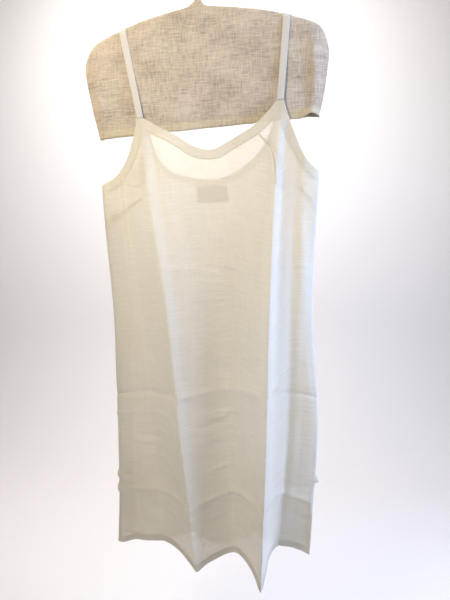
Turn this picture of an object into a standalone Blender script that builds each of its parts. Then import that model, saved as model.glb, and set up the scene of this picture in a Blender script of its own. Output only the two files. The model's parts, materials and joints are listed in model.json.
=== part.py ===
"""A sheer A-line slip dress on a linen-covered hanger, every piece a solid at its real size.

Metres, +Z up. The dress faces -Y. The origin is the inside of the hook's crook, where a rod
would carry it, and the wire's stem runs straight down the Z axis from there.
"""

from bisect import bisect_right
from math import cos, pi, radians, sin, sqrt

import bmesh
import bpy
from mathutils import Vector

# Cloth
WALL = 0.0012
FACING_WALL = 0.0010
SEAM_GAP = 0.00035
PLY_GAP = 0.0007
PLY_DEPTH = WALL / 2 + PLY_GAP + FACING_WALL / 2
FACING_WIDTH = 0.018
BACK_FACING_WIDTH = 0.012
RIDGE_CLEARANCE = 0.08
FACING_TURN = radians(66)
STRAP_WIDTH = 0.0125
LABEL_SIZE = (0.058, 0.030)
LABEL_X = 0.012
LABEL_GRID = (3, 7)
FACING_ROWS = 3
STEEPEST_DROP = 2.2
FACING_TURN_CURVE = 1.5

# Heights down the garment
STRAP_FOOT = -0.260
UNDERARM = -0.393
WAIST = -0.620
HIP = -0.850
HEM = -1.072
SLIT_TOP = -0.945
LEVELS = (HEM, HIP, WAIST, UNDERARM, STRAP_FOOT)
HEM_SAG_START = -0.420

# Each fold line runs from the hem to the strap foot. "across" is its X and "out" its distance in
# front of (or, on the back panel, behind) the side seams, at hem, hip, waist, underarm and foot.
# "sag" is how far the hem drops there, because a ridge hangs straight while a valley slants.
FOLD_COLUMNS = ("name", "across", "out", "sag")
FRONT_FOLDS = (
    ("left seam", (-0.187, -0.181, -0.179, -0.191, -0.193), (0.014, 0.0, 0.0, 0.0, 0.0135), 0.0),
    ("left valley", (-0.105, -0.114, -0.130, -0.150, -0.155), (0.008, 0.016, 0.020, 0.014, 0.0135), 0.0),
    ("ridge 1", (-0.019, -0.041, -0.062, -0.097, -0.111), (0.088, 0.083, 0.066, 0.034, 0.0135), 0.009),
    ("middle valley", (0.042, 0.040, 0.030, 0.020, 0.018), (0.036, 0.033, 0.030, 0.020, 0.0135), 0.0),
    ("ridge 2", (0.097, 0.113, 0.124, 0.136, 0.143), (0.116, 0.094, 0.068, 0.033, 0.0135), 0.022),
    ("right valley", (0.124, 0.148, 0.160, 0.172, 0.176), (0.006, 0.012, 0.020, 0.014, 0.0135), 0.0),
    ("right seam", (0.178, 0.198, 0.192, 0.208, 0.207), (0.026, 0.0, 0.0, 0.0, 0.0135), 0.004),
)
BACK_FOLDS = (
    ("left seam", (-0.187, -0.181, -0.179, -0.191, -0.193), (0.016, 0.0, 0.0, 0.0, 0.0135), 0.0),
    ("left valley", (-0.128, -0.130, -0.138, -0.150, -0.155), (0.018, 0.020, 0.020, 0.014, 0.0135), 0.0),
    ("ridge 1", (-0.060, -0.068, -0.080, -0.102, -0.111), (0.086, 0.072, 0.052, 0.028, 0.0135), 0.008),
    ("middle valley", (0.008, 0.012, 0.015, 0.018, 0.018), (0.028, 0.028, 0.026, 0.020, 0.0135), 0.0),
    ("ridge 2", (0.072, 0.090, 0.108, 0.134, 0.143), (0.098, 0.080, 0.058, 0.030, 0.0135), 0.012),
    ("right valley", (0.128, 0.144, 0.156, 0.172, 0.176), (0.020, 0.020, 0.020, 0.014, 0.0135), 0.0),
    ("right seam", (0.178, 0.198, 0.192, 0.208, 0.207), (0.018, 0.0, 0.0, 0.0, 0.0135), 0.0),
)
RIDGE_ROUND = 0.10
FLANK_BEND = 1.8
SLIT_MOUTH_CURVE = 1.3
SPAN_STEPS = (5, 5, 7, 7, 5, 5)
LEAST_COLUMN_GAP = 0.05
SLIT_ROWS = 4
BODY_ROWS = 18
TOP_CROWDING = 0.5

# How finely slopes and crossings are found
NEAR_COLUMN = 0.02
NEAR_HEIGHT = 0.002
HALVINGS = 40
TOP_TRIES = 60

# The top edge, from the left side seam to the right one, as X and Z of its turning points.
# Both ends of a strap's foot are points, so the foot is flat.
LEFT_ARMHOLE = (
    (-0.191, -0.393), (-0.170, -0.382), (-0.150, -0.363), (-0.136, -0.342),
    (-0.127, -0.318), (-0.1205, -0.295), (-0.1165, -0.275),
)
RIGHT_ARMHOLE = (
    (0.149, -0.259), (0.154, -0.279), (0.161, -0.300), (0.170, -0.326),
    (0.181, -0.353), (0.193, -0.371), (0.208, -0.385),
)
FRONT_NECKLINE = (
    (-0.1045, -0.275), (-0.080, -0.290), (-0.043, -0.311), (-0.012, -0.331),
    (0.020, -0.338), (0.050, -0.325), (0.092, -0.303), (0.118, -0.281), (0.137, -0.259),
)
BACK_NECKLINE = (
    (-0.1045, -0.275), (-0.098, -0.310), (-0.085, -0.343), (-0.060, -0.368),
    (0.010, -0.384), (0.050, -0.377), (0.085, -0.355), (0.118, -0.315), (0.137, -0.259),
)
LEFT_FOOT_X = (-0.1165, -0.1045)
RIGHT_FOOT_X = (0.137, 0.149)

# The hanger's cover, from its collar round the wire to its open lower edge
COVER_WALL = 0.0012
COVER_RINGS = (
    # height, centre, half width, half depth
    (-0.0660, 0.000, 0.0052, 0.0052),
    (-0.0740, 0.000, 0.0060, 0.0056),
    (-0.0810, -0.002, 0.0130, 0.0065),
    (-0.0860, -0.001, 0.0270, 0.0080),
    (-0.0905, 0.003, 0.0600, 0.0098),
    (-0.0955, 0.006, 0.0900, 0.0110),
    (-0.1010, 0.008, 0.1160, 0.0118),
    (-0.1080, 0.010, 0.1400, 0.0123),
    (-0.1170, 0.011, 0.1660, 0.0125),
    (-0.1250, 0.011, 0.1880, 0.0125),
    (-0.1340, 0.010, 0.2040, 0.0125),
    (-0.1460, 0.008, 0.2130, 0.0125),
    (-0.1630, 0.007, 0.2195, 0.0122),
    (-0.1820, 0.007, 0.2225, 0.0118),
    (-0.2150, 0.007, 0.2180, 0.0108),
    (-0.2550, 0.008, 0.2110, 0.0100),
    (-0.2980, 0.009, 0.2010, 0.0095),
)
RING_POINTS = 44
LOWER_EDGE_RISE = 0.008
RISE_START = -0.215
SHOULDER_TOP = -0.081
SHOULDER_LOW = -0.163

# Hanger
WIRE_RADIUS = 0.0020
CROOK_RADIUS = 0.0200
CROOK_START = radians(-38)
CROOK_END = radians(205)
CROOK_STEPS = 20
SWAY_STEPS = 5
STEM_STEPS = 6
STEM_BEND = -0.050
STEM_END = -0.118
WIRE_SIDES = 3
BORE_SIDES = 16
BORE_DEPTH = 0.060
BAR_GAP = 0.0018
BAR_HALF_DEPTH = 0.0095
BAR_HEIGHT = (0.034, 0.018)
BAR_CENTRE = 0.011
BAR_REACH = 0.196
BAR_TOP = -0.0940
BAR_STATIONS = 26
BAR_SIDES = 14

# Straps: lanes across the tape, rows round the cover's shoulder, rows of the straight run
STRAP_LANES = (-0.5, 0.0, 0.5)
STRAP_WRAPS = 7
STRAP_RUNS = 6
STRAP_LIFT = SEAM_GAP + WALL / 2 + 0.0001
STRAP_LEAVES = 0.062
STRAP_X = ((-0.1395, LEFT_FOOT_X, -0.275), (0.1580, RIGHT_FOOT_X, -0.259))

# Colours as linear RGB, with roughness and metallic value
MULL = ((0.86, 0.84, 0.78), 0.85, 0.0)
TAPE = ((0.90, 0.89, 0.85), 0.80, 0.0)
LINEN = ((0.56, 0.47, 0.37), 0.90, 0.0)
WOOD = ((0.52, 0.36, 0.20), 0.55, 0.0)
STEEL = ((0.62, 0.62, 0.60), 0.28, 1.0)


def clear_scene():
    for thing in list(bpy.data.objects):
        bpy.data.objects.remove(thing, do_unlink=True)


def material(name, look):
    colour, roughness, metallic = look
    made = bpy.data.materials.new(name)
    made.use_nodes = True
    shader = made.node_tree.nodes["Principled BSDF"]
    shader.inputs["Base Color"].default_value = (*colour, 1.0)
    shader.inputs["Roughness"].default_value = roughness
    shader.inputs["Metallic"].default_value = metallic
    return made


def along(table, at):
    """The value at `at` on a smooth curve through (place, value) rows in rising order of place."""
    places = [place for place, _ in table]
    last = len(table) - 1
    k = min(max(bisect_right(places, at) - 1, 0), last - 1)

    def slope(i):
        before, after = max(i - 1, 0), min(i + 1, last)
        return (table[after][1] - table[before][1]) / (places[after] - places[before])

    (x0, y0), (x1, y1) = table[k], table[k + 1]
    width = x1 - x0
    t = min(max((at - x0) / width, 0.0), 1.0)
    rise = y0 * (1 + 2 * t) * (1 - t) ** 2 + y1 * t * t * (3 - 2 * t)
    return rise + width * (slope(k) * t * (1 - t) ** 2 - slope(k + 1) * t * t * (1 - t))


def straight(table, at):
    """The value at `at` on straight runs through (place, value) rows in rising order of place."""
    places = [place for place, _ in table]
    k = min(max(bisect_right(places, at) - 1, 0), len(table) - 2)
    (x0, y0), (x1, y1) = table[k], table[k + 1]
    t = min(max((at - x0) / (x1 - x0), 0.0), 1.0)
    return y0 + (y1 - y0) * t


class Panel:
    """One side of the dress: its folds give the cloth's place at any column and height."""

    def __init__(self, folds, neckline, side):
        self.folds = [dict(zip(FOLD_COLUMNS, row)) for row in folds]
        self.neckline = neckline
        self.side = side
        self.columns = self.spread_columns()

    def line(self, index, z):
        """X and distance out of one fold line at a height."""
        fold = self.folds[index]
        x = along(list(zip(LEVELS, fold["across"])), z)
        out = along(list(zip(LEVELS, fold["out"])), z)
        if index in (0, len(self.folds) - 1):
            out = self.edge_out(fold, z)
        return x, out

    def edge_out(self, fold, z):
        """A side edge stays at its seam between underarm and slit, and opens above and below."""
        if z < SLIT_TOP:
            opened = (SLIT_TOP - z) / (SLIT_TOP - HEM)
            return SEAM_GAP + fold["out"][0] * opened**SLIT_MOUTH_CURVE
        if z > UNDERARM:
            risen = (z - UNDERARM) / (STRAP_FOOT - UNDERARM)
            return SEAM_GAP + fold["out"][-1] * min(risen, 1.0)
        return SEAM_GAP

    def flat(self, column, z):
        """X and distance out at a column, 0 to 6 across the seven fold lines."""
        k = min(int(column), len(self.folds) - 2)
        part = column - k
        (x0, out0), (x1, out1) = self.line(k, z), self.line(k + 1, z)
        at_ridge_first = k % 2 == 0 and 0 < k
        if k in (0, len(self.folds) - 2):
            toward_edge = 1 - part if k == 0 else part
            q = sin(toward_edge * pi / 2)
            edge, edge_out, valley, valley_out = (x0, out0, x1, out1) if k == 0 else (x1, out1, x0, out0)
            shut = min(max((z - HEM) / (SLIT_TOP - HEM), 0.0), 1.0)
            bend = shut * (1 - sqrt(max(1 - q * q, 0.0))) + (1 - shut) * q * q
            return valley + (edge - valley) * q, valley_out + (edge_out - valley_out) * bend
        run = part if at_ridge_first else 1 - part
        run = (sqrt(run * run + RIDGE_ROUND**2) - RIDGE_ROUND) / (sqrt(1 + RIDGE_ROUND**2) - RIDGE_ROUND)
        fall = 1 - (1 - run) ** FLANK_BEND
        if at_ridge_first:
            return x0 + (x1 - x0) * part, out0 + (out1 - out0) * fall
        return x0 + (x1 - x0) * part, out1 + (out0 - out1) * fall

    def sag(self, column, z):
        """How far the cloth at this column drops below its flat height."""
        k = min(int(column), len(self.folds) - 2)
        part = column - k
        part = part * part * (3 - 2 * part)
        drop = self.folds[k]["sag"] * (1 - part) + self.folds[k + 1]["sag"] * part
        depth = max((HEM_SAG_START - z) / (HEM_SAG_START - HEM), 0.0)
        return drop * depth * depth

    def point(self, column, z):
        x, out = self.flat(column, z)
        return Vector((x, self.side * out, z - self.sag(column, z)))

    def inside(self, column, z, depth):
        """The place `depth` inside the cloth's middle, square to it."""
        right = min(column + NEAR_COLUMN, float(len(self.folds) - 1))
        left = max(column - NEAR_COLUMN, 0.0)
        across = self.point(right, z) - self.point(left, z)
        upward = self.point(column, z + NEAR_HEIGHT) - self.point(column, z - NEAR_HEIGHT)
        return self.point(column, z) + across.cross(upward).normalized() * self.side * depth

    def outline(self, x):
        """Height of the top edge above an X."""
        if x <= LEFT_FOOT_X[0]:
            return along(LEFT_ARMHOLE, x)
        if x >= RIGHT_FOOT_X[1]:
            return along(RIGHT_ARMHOLE, x)
        return along(self.neckline, min(max(x, LEFT_FOOT_X[1]), RIGHT_FOOT_X[0]))

    def top(self, column):
        """Height where a column meets the top edge."""
        z = UNDERARM
        for _ in range(TOP_TRIES):
            z = (z + self.outline(self.flat(column, z)[0])) / 2
        return z

    def column_at(self, x, z):
        """The column whose cloth lies at an X, found by halving."""
        low, high = 0.0, float(len(self.folds) - 1)
        for _ in range(HALVINGS):
            middle = (low + high) / 2
            if self.flat(middle, z)[0] < x:
                low = middle
            else:
                high = middle
        return (low + high) / 2

    def spread_columns(self):
        """Even columns between fold lines, with one more at each end of both strap feet."""
        places = [k + i / n for k, n in enumerate(SPAN_STEPS) for i in range(n)]
        places.append(float(len(SPAN_STEPS)))
        feet = [self.column_at(x, LEFT_ARMHOLE[-1][1]) for x in LEFT_FOOT_X]
        feet += [self.column_at(x, RIGHT_ARMHOLE[0][1]) for x in RIGHT_FOOT_X]
        apart = LEAST_COLUMN_GAP
        kept = [c for c in places if all(abs(c - foot) > apart or c == round(c) for foot in feet)]
        return sorted(kept + feet)

    def grid(self):
        rows = []
        slit_share = (SLIT_TOP - HEM) / (UNDERARM - HEM)
        shares = [slit_share * i / SLIT_ROWS for i in range(SLIT_ROWS)]
        for i in range(BODY_ROWS + 1):
            risen = i / BODY_ROWS
            risen *= 1 + TOP_CROWDING * (1 - risen)
            shares.append(slit_share + (1 - slit_share) * risen)
        tops = [self.top(column) for column in self.columns]
        for share in shares:
            rows.append([self.point(c, HEM + (top - HEM) * share) for c, top in zip(self.columns, tops)])
        return rows


def sheet(name, rows, wall, look, closed=False, align=0.0):
    """Cloth through rows of points, given its wall evenly on both sides (align 0) or inside (-1)."""
    bm = bmesh.new()
    grid = [[bm.verts.new(point) for point in row] for row in rows]
    for lower, upper in zip(grid, grid[1:]):
        pairs = list(zip(lower, lower[1:], upper, upper[1:]))
        if closed:
            pairs.append((lower[-1], lower[0], upper[-1], upper[0]))
        for a, b, c, d in pairs:
            bm.faces.new((a, b, d, c))
    mesh = bpy.data.meshes.new(name)
    bm.to_mesh(mesh)
    bm.free()
    mesh.shade_smooth()
    made = bpy.data.objects.new(name, mesh)
    bpy.context.scene.collection.objects.link(made)
    made.data.materials.append(look)
    wall_maker = made.modifiers.new("Wall", "SOLIDIFY")
    wall_maker.thickness = wall
    wall_maker.offset = align
    return made


def neck_facing(name, panel, width, look):
    """A band inside the neckline, from one strap foot to the other."""
    low = panel.column_at(LEFT_FOOT_X[1], LEFT_ARMHOLE[-1][1])
    high = panel.column_at(RIGHT_FOOT_X[0], RIGHT_ARMHOLE[0][1])
    columns = [c for c in panel.columns if low <= c <= high]
    tops = [panel.top(c) for c in columns]
    edge = [panel.flat(c, top)[0] for c, top in zip(columns, tops)]
    rows = []
    for step in range(FACING_ROWS):
        row = []
        for i, (column, top) in enumerate(zip(columns, tops)):
            before, after = max(i - 1, 0), min(i + 1, len(columns) - 1)
            fall = (tops[after] - tops[before]) / (edge[after] - edge[before])
            drop = width * min(sqrt(1 + fall * fall), STEEPEST_DROP)
            z = top - SEAM_GAP - drop * (1 - step / (FACING_ROWS - 1))
            row.append(panel.inside(column, z, PLY_DEPTH))
        rows.append(row)
    return sheet(name, rows, FACING_WALL, look)


def halved(places):
    """The same places with one more in the middle of each gap."""
    middles = [(a + b) / 2 for a, b in zip(places, places[1:])]
    return [place for pair in zip(places, middles) for place in pair] + [places[-1]]


def armhole_facing(name, front, back, left, look):
    """A band inside one armhole, from the front strap foot under the arm to the back one."""
    foot = LEFT_FOOT_X[0] if left else RIGHT_FOOT_X[1]
    foot_z = LEFT_ARMHOLE[-1][1] if left else RIGHT_ARMHOLE[0][1]
    ridge = 2.0 - RIDGE_CLEARANCE if left else 4.0 + RIDGE_CLEARANCE
    rows = []
    for panel in (front, back):
        at_foot = panel.column_at(foot, foot_z)
        columns = [c for c in panel.columns if (c <= at_foot if left else c >= at_foot)]
        columns = halved((columns if left else columns[::-1])[:-1])
        seam = columns[0]
        strip = []
        for column in columns:
            risen = (column - seam) / (at_foot - seam)
            top = panel.top(column) - SEAM_GAP
            turn = risen**FACING_TURN_CURVE * FACING_TURN
            inward = FACING_WIDTH * sin(turn) * (1 if left else -1)
            x = panel.flat(column, top)[0]
            band = []
            for share in (0.0, 0.5, 1.0):
                z = top - share * FACING_WIDTH * cos(turn)
                moved = column if inward == 0 else panel.column_at(x + share * inward, z)
                near_seam = min(risen * 4, 1.0)
                moved = column + (moved - column) * near_seam
                moved = min(moved, ridge) if left else max(moved, ridge)
                band.append(panel.inside(moved, z, PLY_DEPTH))
            strip.append(band)
        rows.append(strip)
    front_strip, back_strip = rows
    joined = front_strip[:0:-1]
    joined.append([Vector((a.x, 0.0, a.z)) for a in front_strip[0]])
    joined += back_strip[1:]
    if left:
        joined = [band[::-1] for band in joined]
    return sheet(name, joined, FACING_WALL, look)


def neck_label(panel, look):
    """A plain bare label inside the back, hanging from the facing's lower edge."""
    wide, tall = LABEL_SIZE
    top = panel.outline(LABEL_X) - BACK_FACING_WIDTH - 2 * SEAM_GAP
    high, across = LABEL_GRID
    xs = [LABEL_X + wide * (j / (across - 1) - 0.5) for j in range(across)]
    rows = []
    for i in range(high):
        z = top - tall * (1 - i / (high - 1))
        rows.append([panel.inside(panel.column_at(x, z), z, PLY_DEPTH) for x in xs])
    return sheet("neck_label", rows, FACING_WALL, look)


def cover_ring(z):
    """Centre, half width and half depth of the cover at a height."""
    table = sorted(COVER_RINGS)
    return [straight([(row[0], row[k]) for row in table], z) for k in (1, 2, 3)]


def cover_depth(x, z):
    """Half depth of the cover at a place on its front, zero outside it."""
    centre, half_width, half_depth = cover_ring(z)
    share = abs(x - centre) / half_width
    return half_depth * sqrt(1 - share**4) if share < 1 else 0.0


def cover_top(x):
    """Height of the cover's top line above an X, found by halving."""
    high, low = SHOULDER_TOP, SHOULDER_LOW
    for _ in range(HALVINGS):
        middle = (low + high) / 2
        if cover_depth(x, middle) > 0:
            low = middle
        else:
            high = middle
    return (low + high) / 2


def hanger_cover(look):
    """The open-bottomed linen bag; its lower edge climbs a little to the right."""
    rows = []
    for z, centre, half_width, half_depth in COVER_RINGS:
        share = max((RISE_START - z) / (RISE_START - COVER_RINGS[-1][0]), 0.0)
        row = []
        for k in range(RING_POINTS):
            turn = 2 * pi * k / RING_POINTS
            x = half_width * sin(turn)
            y = -half_depth * cos(turn) * sqrt(1 + sin(turn) ** 2)
            rise = LOWER_EDGE_RISE * share * (x / half_width)
            row.append(Vector((centre + x, y, z + rise)))
        rows.append(row[::-1])
    return sheet("hanger_cover", rows, COVER_WALL, look, closed=True, align=-1.0)


def strap(name, top_x, foot, foot_z, depth, look):
    """A tape from the front foot, up over the cover and down to the back foot."""
    front, back = [], []
    for i in range(STRAP_WRAPS + 1):
        fallen = STRAP_LEAVES * (1 - cos(pi / 2 * i / STRAP_WRAPS))
        for side, half in ((-1, front), (1, back)):
            row = []
            for lane in STRAP_LANES:
                top = cover_top(top_x + lane * STRAP_WIDTH)
                slant = (sum(foot) / 2 - top_x) * fallen / (top - foot_z)
                x = top_x + lane * STRAP_WIDTH + slant
                z = top - fallen
                row.append(Vector((x, side * cover_depth(x, z), z)))
            half.append(row)
    wrap = lifted(front[:0:-1] + back, STRAP_LIFT)
    first = hanging(wrap[0], foot, foot_z, -depth)
    last = hanging(wrap[-1], foot, foot_z, depth)
    return sheet(name, first[::-1] + wrap + last, WALL, look)


def lifted(rows, lift):
    """The same rows, moved along the normals of the sheet through them."""
    moved = []
    for i, row in enumerate(rows):
        before, after = rows[max(i - 1, 0)], rows[min(i + 1, len(rows) - 1)]
        line = []
        for j, point in enumerate(row):
            along_path = after[j] - before[j]
            across = row[min(j + 1, len(row) - 1)] - row[max(j - 1, 0)]
            line.append(point + across.cross(along_path).normalized() * lift)
        moved.append(line)
    return moved


def hanging(start, foot, foot_z, depth):
    """Rows of the straight run from where the tape leaves the cover down to its foot."""
    ends = [Vector((x, depth, foot_z + SEAM_GAP)) for x in (foot[0], sum(foot) / 2, foot[1])]
    shares = [i / STRAP_RUNS for i in range(1, STRAP_RUNS + 1)]
    return [[a.lerp(b, share) for a, b in zip(start, ends)] for share in shares]


def hanger_bar(look):
    """The wooden bar that fills the top of the cover, swept along its shoulder line."""
    bm = bmesh.new()
    rings = []
    for i in range(BAR_STATIONS + 1):
        reach = -cos(pi * i / BAR_STATIONS)
        x = BAR_CENTRE + BAR_REACH * reach
        outer = x + BAR_GAP * (1 if x > BAR_CENTRE else -1)
        top = min(cover_top(outer) - BAR_GAP, BAR_TOP)
        height = BAR_HEIGHT[0] + (BAR_HEIGHT[1] - BAR_HEIGHT[0]) * abs(reach)
        ring = []
        for k in range(BAR_SIDES):
            turn = 2 * pi * k / BAR_SIDES
            z = top - height / 2 * (1 - cos(turn))
            room = max(cover_depth(outer, z + BAR_GAP) - BAR_GAP, 0.0)
            y = sin(turn) * BAR_HALF_DEPTH
            y = max(-room, min(room, y))
            ring.append(bm.verts.new((x, y, z)))
        rings.append(ring)
    for one, two in zip(rings, rings[1:]):
        for k in range(BAR_SIDES):
            n = (k + 1) % BAR_SIDES
            bm.faces.new((one[k], one[n], two[n], two[k]))
    bm.faces.new(rings[0])
    bm.faces.new(rings[-1])
    bmesh.ops.recalc_face_normals(bm, faces=bm.faces)
    mesh = bpy.data.meshes.new("hanger_bar")
    bm.to_mesh(mesh)
    bm.free()
    made = bpy.data.objects.new("hanger_bar", mesh)
    bpy.context.scene.collection.objects.link(made)
    made.data.materials.append(look)
    return made


def hook_route():
    """The wire's middle line: up the stem, round the crook to its open end."""
    centre = Vector((0.0, 0.0, WIRE_RADIUS - CROOK_RADIUS))
    stem = STEM_BEND - STEM_END
    points = [Vector((0.0, 0.0, STEM_END + stem * i / STEM_STEPS)) for i in range(STEM_STEPS + 1)]
    first = centre + CROOK_RADIUS * Vector((cos(CROOK_START), 0.0, sin(CROOK_START)))
    for i in range(1, SWAY_STEPS):
        t = i / SWAY_STEPS
        sway = t * t * (3 - 2 * t)
        points.append(Vector((first.x * sway, 0.0, STEM_BEND + (first.z - STEM_BEND) * t)))
    for i in range(CROOK_STEPS + 1):
        turn = CROOK_START + (CROOK_END - CROOK_START) * i / CROOK_STEPS
        points.append(centre + CROOK_RADIUS * Vector((cos(turn), 0.0, sin(turn))))
    return points


def hanger_hook(look):
    curve = bpy.data.curves.new("hanger_hook", "CURVE")
    curve.dimensions = "3D"
    curve.bevel_depth = WIRE_RADIUS
    curve.bevel_resolution = WIRE_SIDES
    curve.use_fill_caps = True
    spline = curve.splines.new("POLY")
    route = hook_route()
    spline.points.add(len(route) - 1)
    for target, point in zip(spline.points, route):
        target.co = (*point, 1.0)
    made = bpy.data.objects.new("hanger_hook", curve)
    bpy.context.scene.collection.objects.link(made)
    made.data.materials.append(look)
    return made


def bore(target):
    """The hole in the bar that takes the wire's stem."""
    bm = bmesh.new()
    radius = WIRE_RADIUS + SEAM_GAP
    bmesh.ops.create_cone(
        bm, cap_ends=True, segments=BORE_SIDES, radius1=radius, radius2=radius, depth=BORE_DEPTH
    )
    middle = STEM_END - SEAM_GAP + BORE_DEPTH / 2
    bmesh.ops.translate(bm, verts=bm.verts, vec=(0.0, 0.0, middle))
    mesh = bpy.data.meshes.new("stem_bore")
    bm.to_mesh(mesh)
    bm.free()
    cutter = bpy.data.objects.new("stem_bore", mesh)
    bpy.context.scene.collection.objects.link(cutter)
    cutter.hide_render = True
    cutter.display_type = "WIRE"
    cut = target.modifiers.new("Stem bore", "BOOLEAN")
    cut.operation = "DIFFERENCE"
    cut.object = cutter


def build():
    clear_scene()
    mull = material("mull", MULL)
    tape = material("tape", TAPE)
    linen = material("linen", LINEN)
    front = Panel(FRONT_FOLDS, FRONT_NECKLINE, -1)
    back = Panel(BACK_FOLDS, BACK_NECKLINE, 1)
    sheet("front_panel", front.grid(), WALL, mull)
    sheet("back_panel", back.grid(), WALL, mull)
    neck_facing("front_neck_facing", front, FACING_WIDTH, mull)
    neck_facing("back_neck_facing", back, BACK_FACING_WIDTH, mull)
    armhole_facing("left_armhole_facing", front, back, True, mull)
    armhole_facing("right_armhole_facing", front, back, False, mull)
    neck_label(back, tape)
    foot_depth = FRONT_FOLDS[0][2][-1]
    for name, (top_x, foot, foot_z) in zip(("left_strap", "right_strap"), STRAP_X):
        strap(name, top_x, foot, foot_z, foot_depth, tape)
    hanger_cover(linen)
    bore(hanger_bar(material("wood", WOOD)))
    hanger_hook(material("steel", STEEL))


build()
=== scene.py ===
# %% [markdown]
# # A sheer slip dress on a linen-covered hanger
# The dress is thin white cotton, so light as to be half see-through: the back neckline and its
# label show through the front. It hangs by two narrow tapes from a hanger whose wooden bar is
# hidden under a coarse linen cover. The solids of the same object come in as a fixed frame, and
# each cell below makes one finished piece at the place of its solid.

# %% Load the frame
import json
import random
from bisect import bisect_right
from math import cos, exp, hypot, pi, radians, sin, sqrt

import bmesh
import bpy
from mathutils import Matrix, Vector, noise

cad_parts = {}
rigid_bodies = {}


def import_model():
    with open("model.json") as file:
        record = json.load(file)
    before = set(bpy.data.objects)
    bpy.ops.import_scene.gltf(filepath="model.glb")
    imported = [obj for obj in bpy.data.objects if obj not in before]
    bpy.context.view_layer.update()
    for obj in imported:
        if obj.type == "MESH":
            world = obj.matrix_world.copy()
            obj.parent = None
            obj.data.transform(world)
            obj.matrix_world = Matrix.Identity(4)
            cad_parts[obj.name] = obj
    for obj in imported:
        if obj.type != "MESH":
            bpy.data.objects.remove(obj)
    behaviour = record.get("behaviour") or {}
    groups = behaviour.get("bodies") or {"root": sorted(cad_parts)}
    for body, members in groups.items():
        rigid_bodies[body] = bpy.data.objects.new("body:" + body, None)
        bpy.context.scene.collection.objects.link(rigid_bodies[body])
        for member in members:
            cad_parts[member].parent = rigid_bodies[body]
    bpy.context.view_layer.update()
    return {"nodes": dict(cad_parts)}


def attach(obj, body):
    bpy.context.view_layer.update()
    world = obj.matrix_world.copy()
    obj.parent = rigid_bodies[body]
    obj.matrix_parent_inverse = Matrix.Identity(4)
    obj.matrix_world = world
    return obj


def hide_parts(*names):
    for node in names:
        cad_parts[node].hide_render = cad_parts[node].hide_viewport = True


for thing in list(bpy.data.objects):
    bpy.data.objects.remove(thing, do_unlink=True)
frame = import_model()
print("nodes in the frame:", ", ".join(sorted(frame["nodes"])))

# %% [markdown]
# ## The camera
# The photograph was taken from a little right of the dress's front and a little above its
# middle, tilted slightly down. A real lens of 31 mm on a 36 mm frame gives the same narrowing
# towards the hem. Three plain angles place it, so it can be checked by eye.

# %% Camera
CAMERA_PLACE = Vector((0.162, -0.950, -0.542))
CAMERA_TURN = radians(7.72)
CAMERA_DIP = radians(4.0)
CAMERA_ROLL = radians(-1.67)
LENS = 31.2


def make_camera():
    lens = bpy.data.cameras.new("camera")
    lens.lens = LENS
    lens.sensor_width = 36.0
    made = bpy.data.objects.new("camera", lens)
    turn = Matrix.Rotation(CAMERA_TURN, 4, "Z") @ Matrix.Rotation(pi / 2 - CAMERA_DIP, 4, "X")
    made.matrix_world = Matrix.Translation(CAMERA_PLACE) @ turn @ Matrix.Rotation(CAMERA_ROLL, 4, "Z")
    bpy.context.scene.collection.objects.link(made)
    bpy.context.scene.camera = made
    return made


print("camera at", tuple(round(c, 3) for c in make_camera().matrix_world.translation))

# %% [markdown]
# ## The stage and the light
# Sheer cloth is only as bright as what stands behind it, so the stage is a pale sweep, a floor
# that curves up into a wall with no corner, and a large lamp washes the wall. A cool window of
# light stands at the right, as in the photograph, and a small warm lamp in front, left of the
# dress, so that each fold has a cool side and a warm one. No film curve is put on the colours,
# so white cloth stays white.

# %% Stage and lights
FLOOR = -1.42
SWEEP_FRONT = -3.4
SWEEP_BACK = 1.60
SWEEP_RADIUS = 0.60
SWEEP_HALF_WIDTH = 3.2
SWEEP_HEIGHT = 2.6


def sweep_place(u, v):
    """The floor runs back to the curve, goes round it and climbs the wall."""
    floor_end = SWEEP_BACK - SWEEP_RADIUS
    x = SWEEP_HALF_WIDTH * (2 * u - 1)
    if v < 0.4:
        return Vector((x, SWEEP_FRONT + (floor_end - SWEEP_FRONT) * v / 0.4, FLOOR))
    if v < 0.7:
        turn = (v - 0.4) / 0.3 * pi / 2
        return Vector((x, floor_end + SWEEP_RADIUS * sin(turn), FLOOR + SWEEP_RADIUS * (1 - cos(turn))))
    return Vector((x, SWEEP_BACK, FLOOR + SWEEP_RADIUS + SWEEP_HEIGHT * (v - 0.7) / 0.3))


def make_stage():
    bm = bmesh.new()
    bmesh.ops.create_grid(bm, x_segments=2, y_segments=40, size=0.5)
    for vert in bm.verts:
        vert.co = sweep_place(vert.co.x + 0.5, vert.co.y + 0.5)
    mesh = bpy.data.meshes.new("floor")
    bm.to_mesh(mesh)
    bm.free()
    mesh.shade_smooth()
    floor = bpy.data.objects.new("floor", mesh)
    bpy.context.scene.collection.objects.link(floor)
    paper = bpy.data.materials.new("pale paper")
    paper.use_nodes = True
    shader = paper.node_tree.nodes["Principled BSDF"]
    shader.inputs["Base Color"].default_value = (0.82, 0.78, 0.765, 1.0)
    shader.inputs["Roughness"].default_value = 0.9
    floor.data.materials.append(paper)
    return floor


ROOM_COLOUR = (1.0, 0.915, 0.83, 1.0)
ROOM_STRENGTH = 0.12
SEEN_COLOUR = (0.90, 0.90, 0.89, 1.0)
LIGHTS = (
    # name, place, aimed at, size, watts, colour
    ("window", (1.25, -0.14, -0.30), (0.02, 0.0, -0.60), 0.6, 24.0, (0.50, 0.655, 1.0)),
    ("room", (-0.30, -0.66, 0.08), (0.0, 0.0, -0.48), 0.35, 7.6, (1.0, 0.885, 0.69)),
    ("wall wash", (-0.30, 0.50, 0.70), (-0.25, 1.6, -0.70), 1.2, 33.0, (1.0, 0.985, 0.945)),
)


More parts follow.
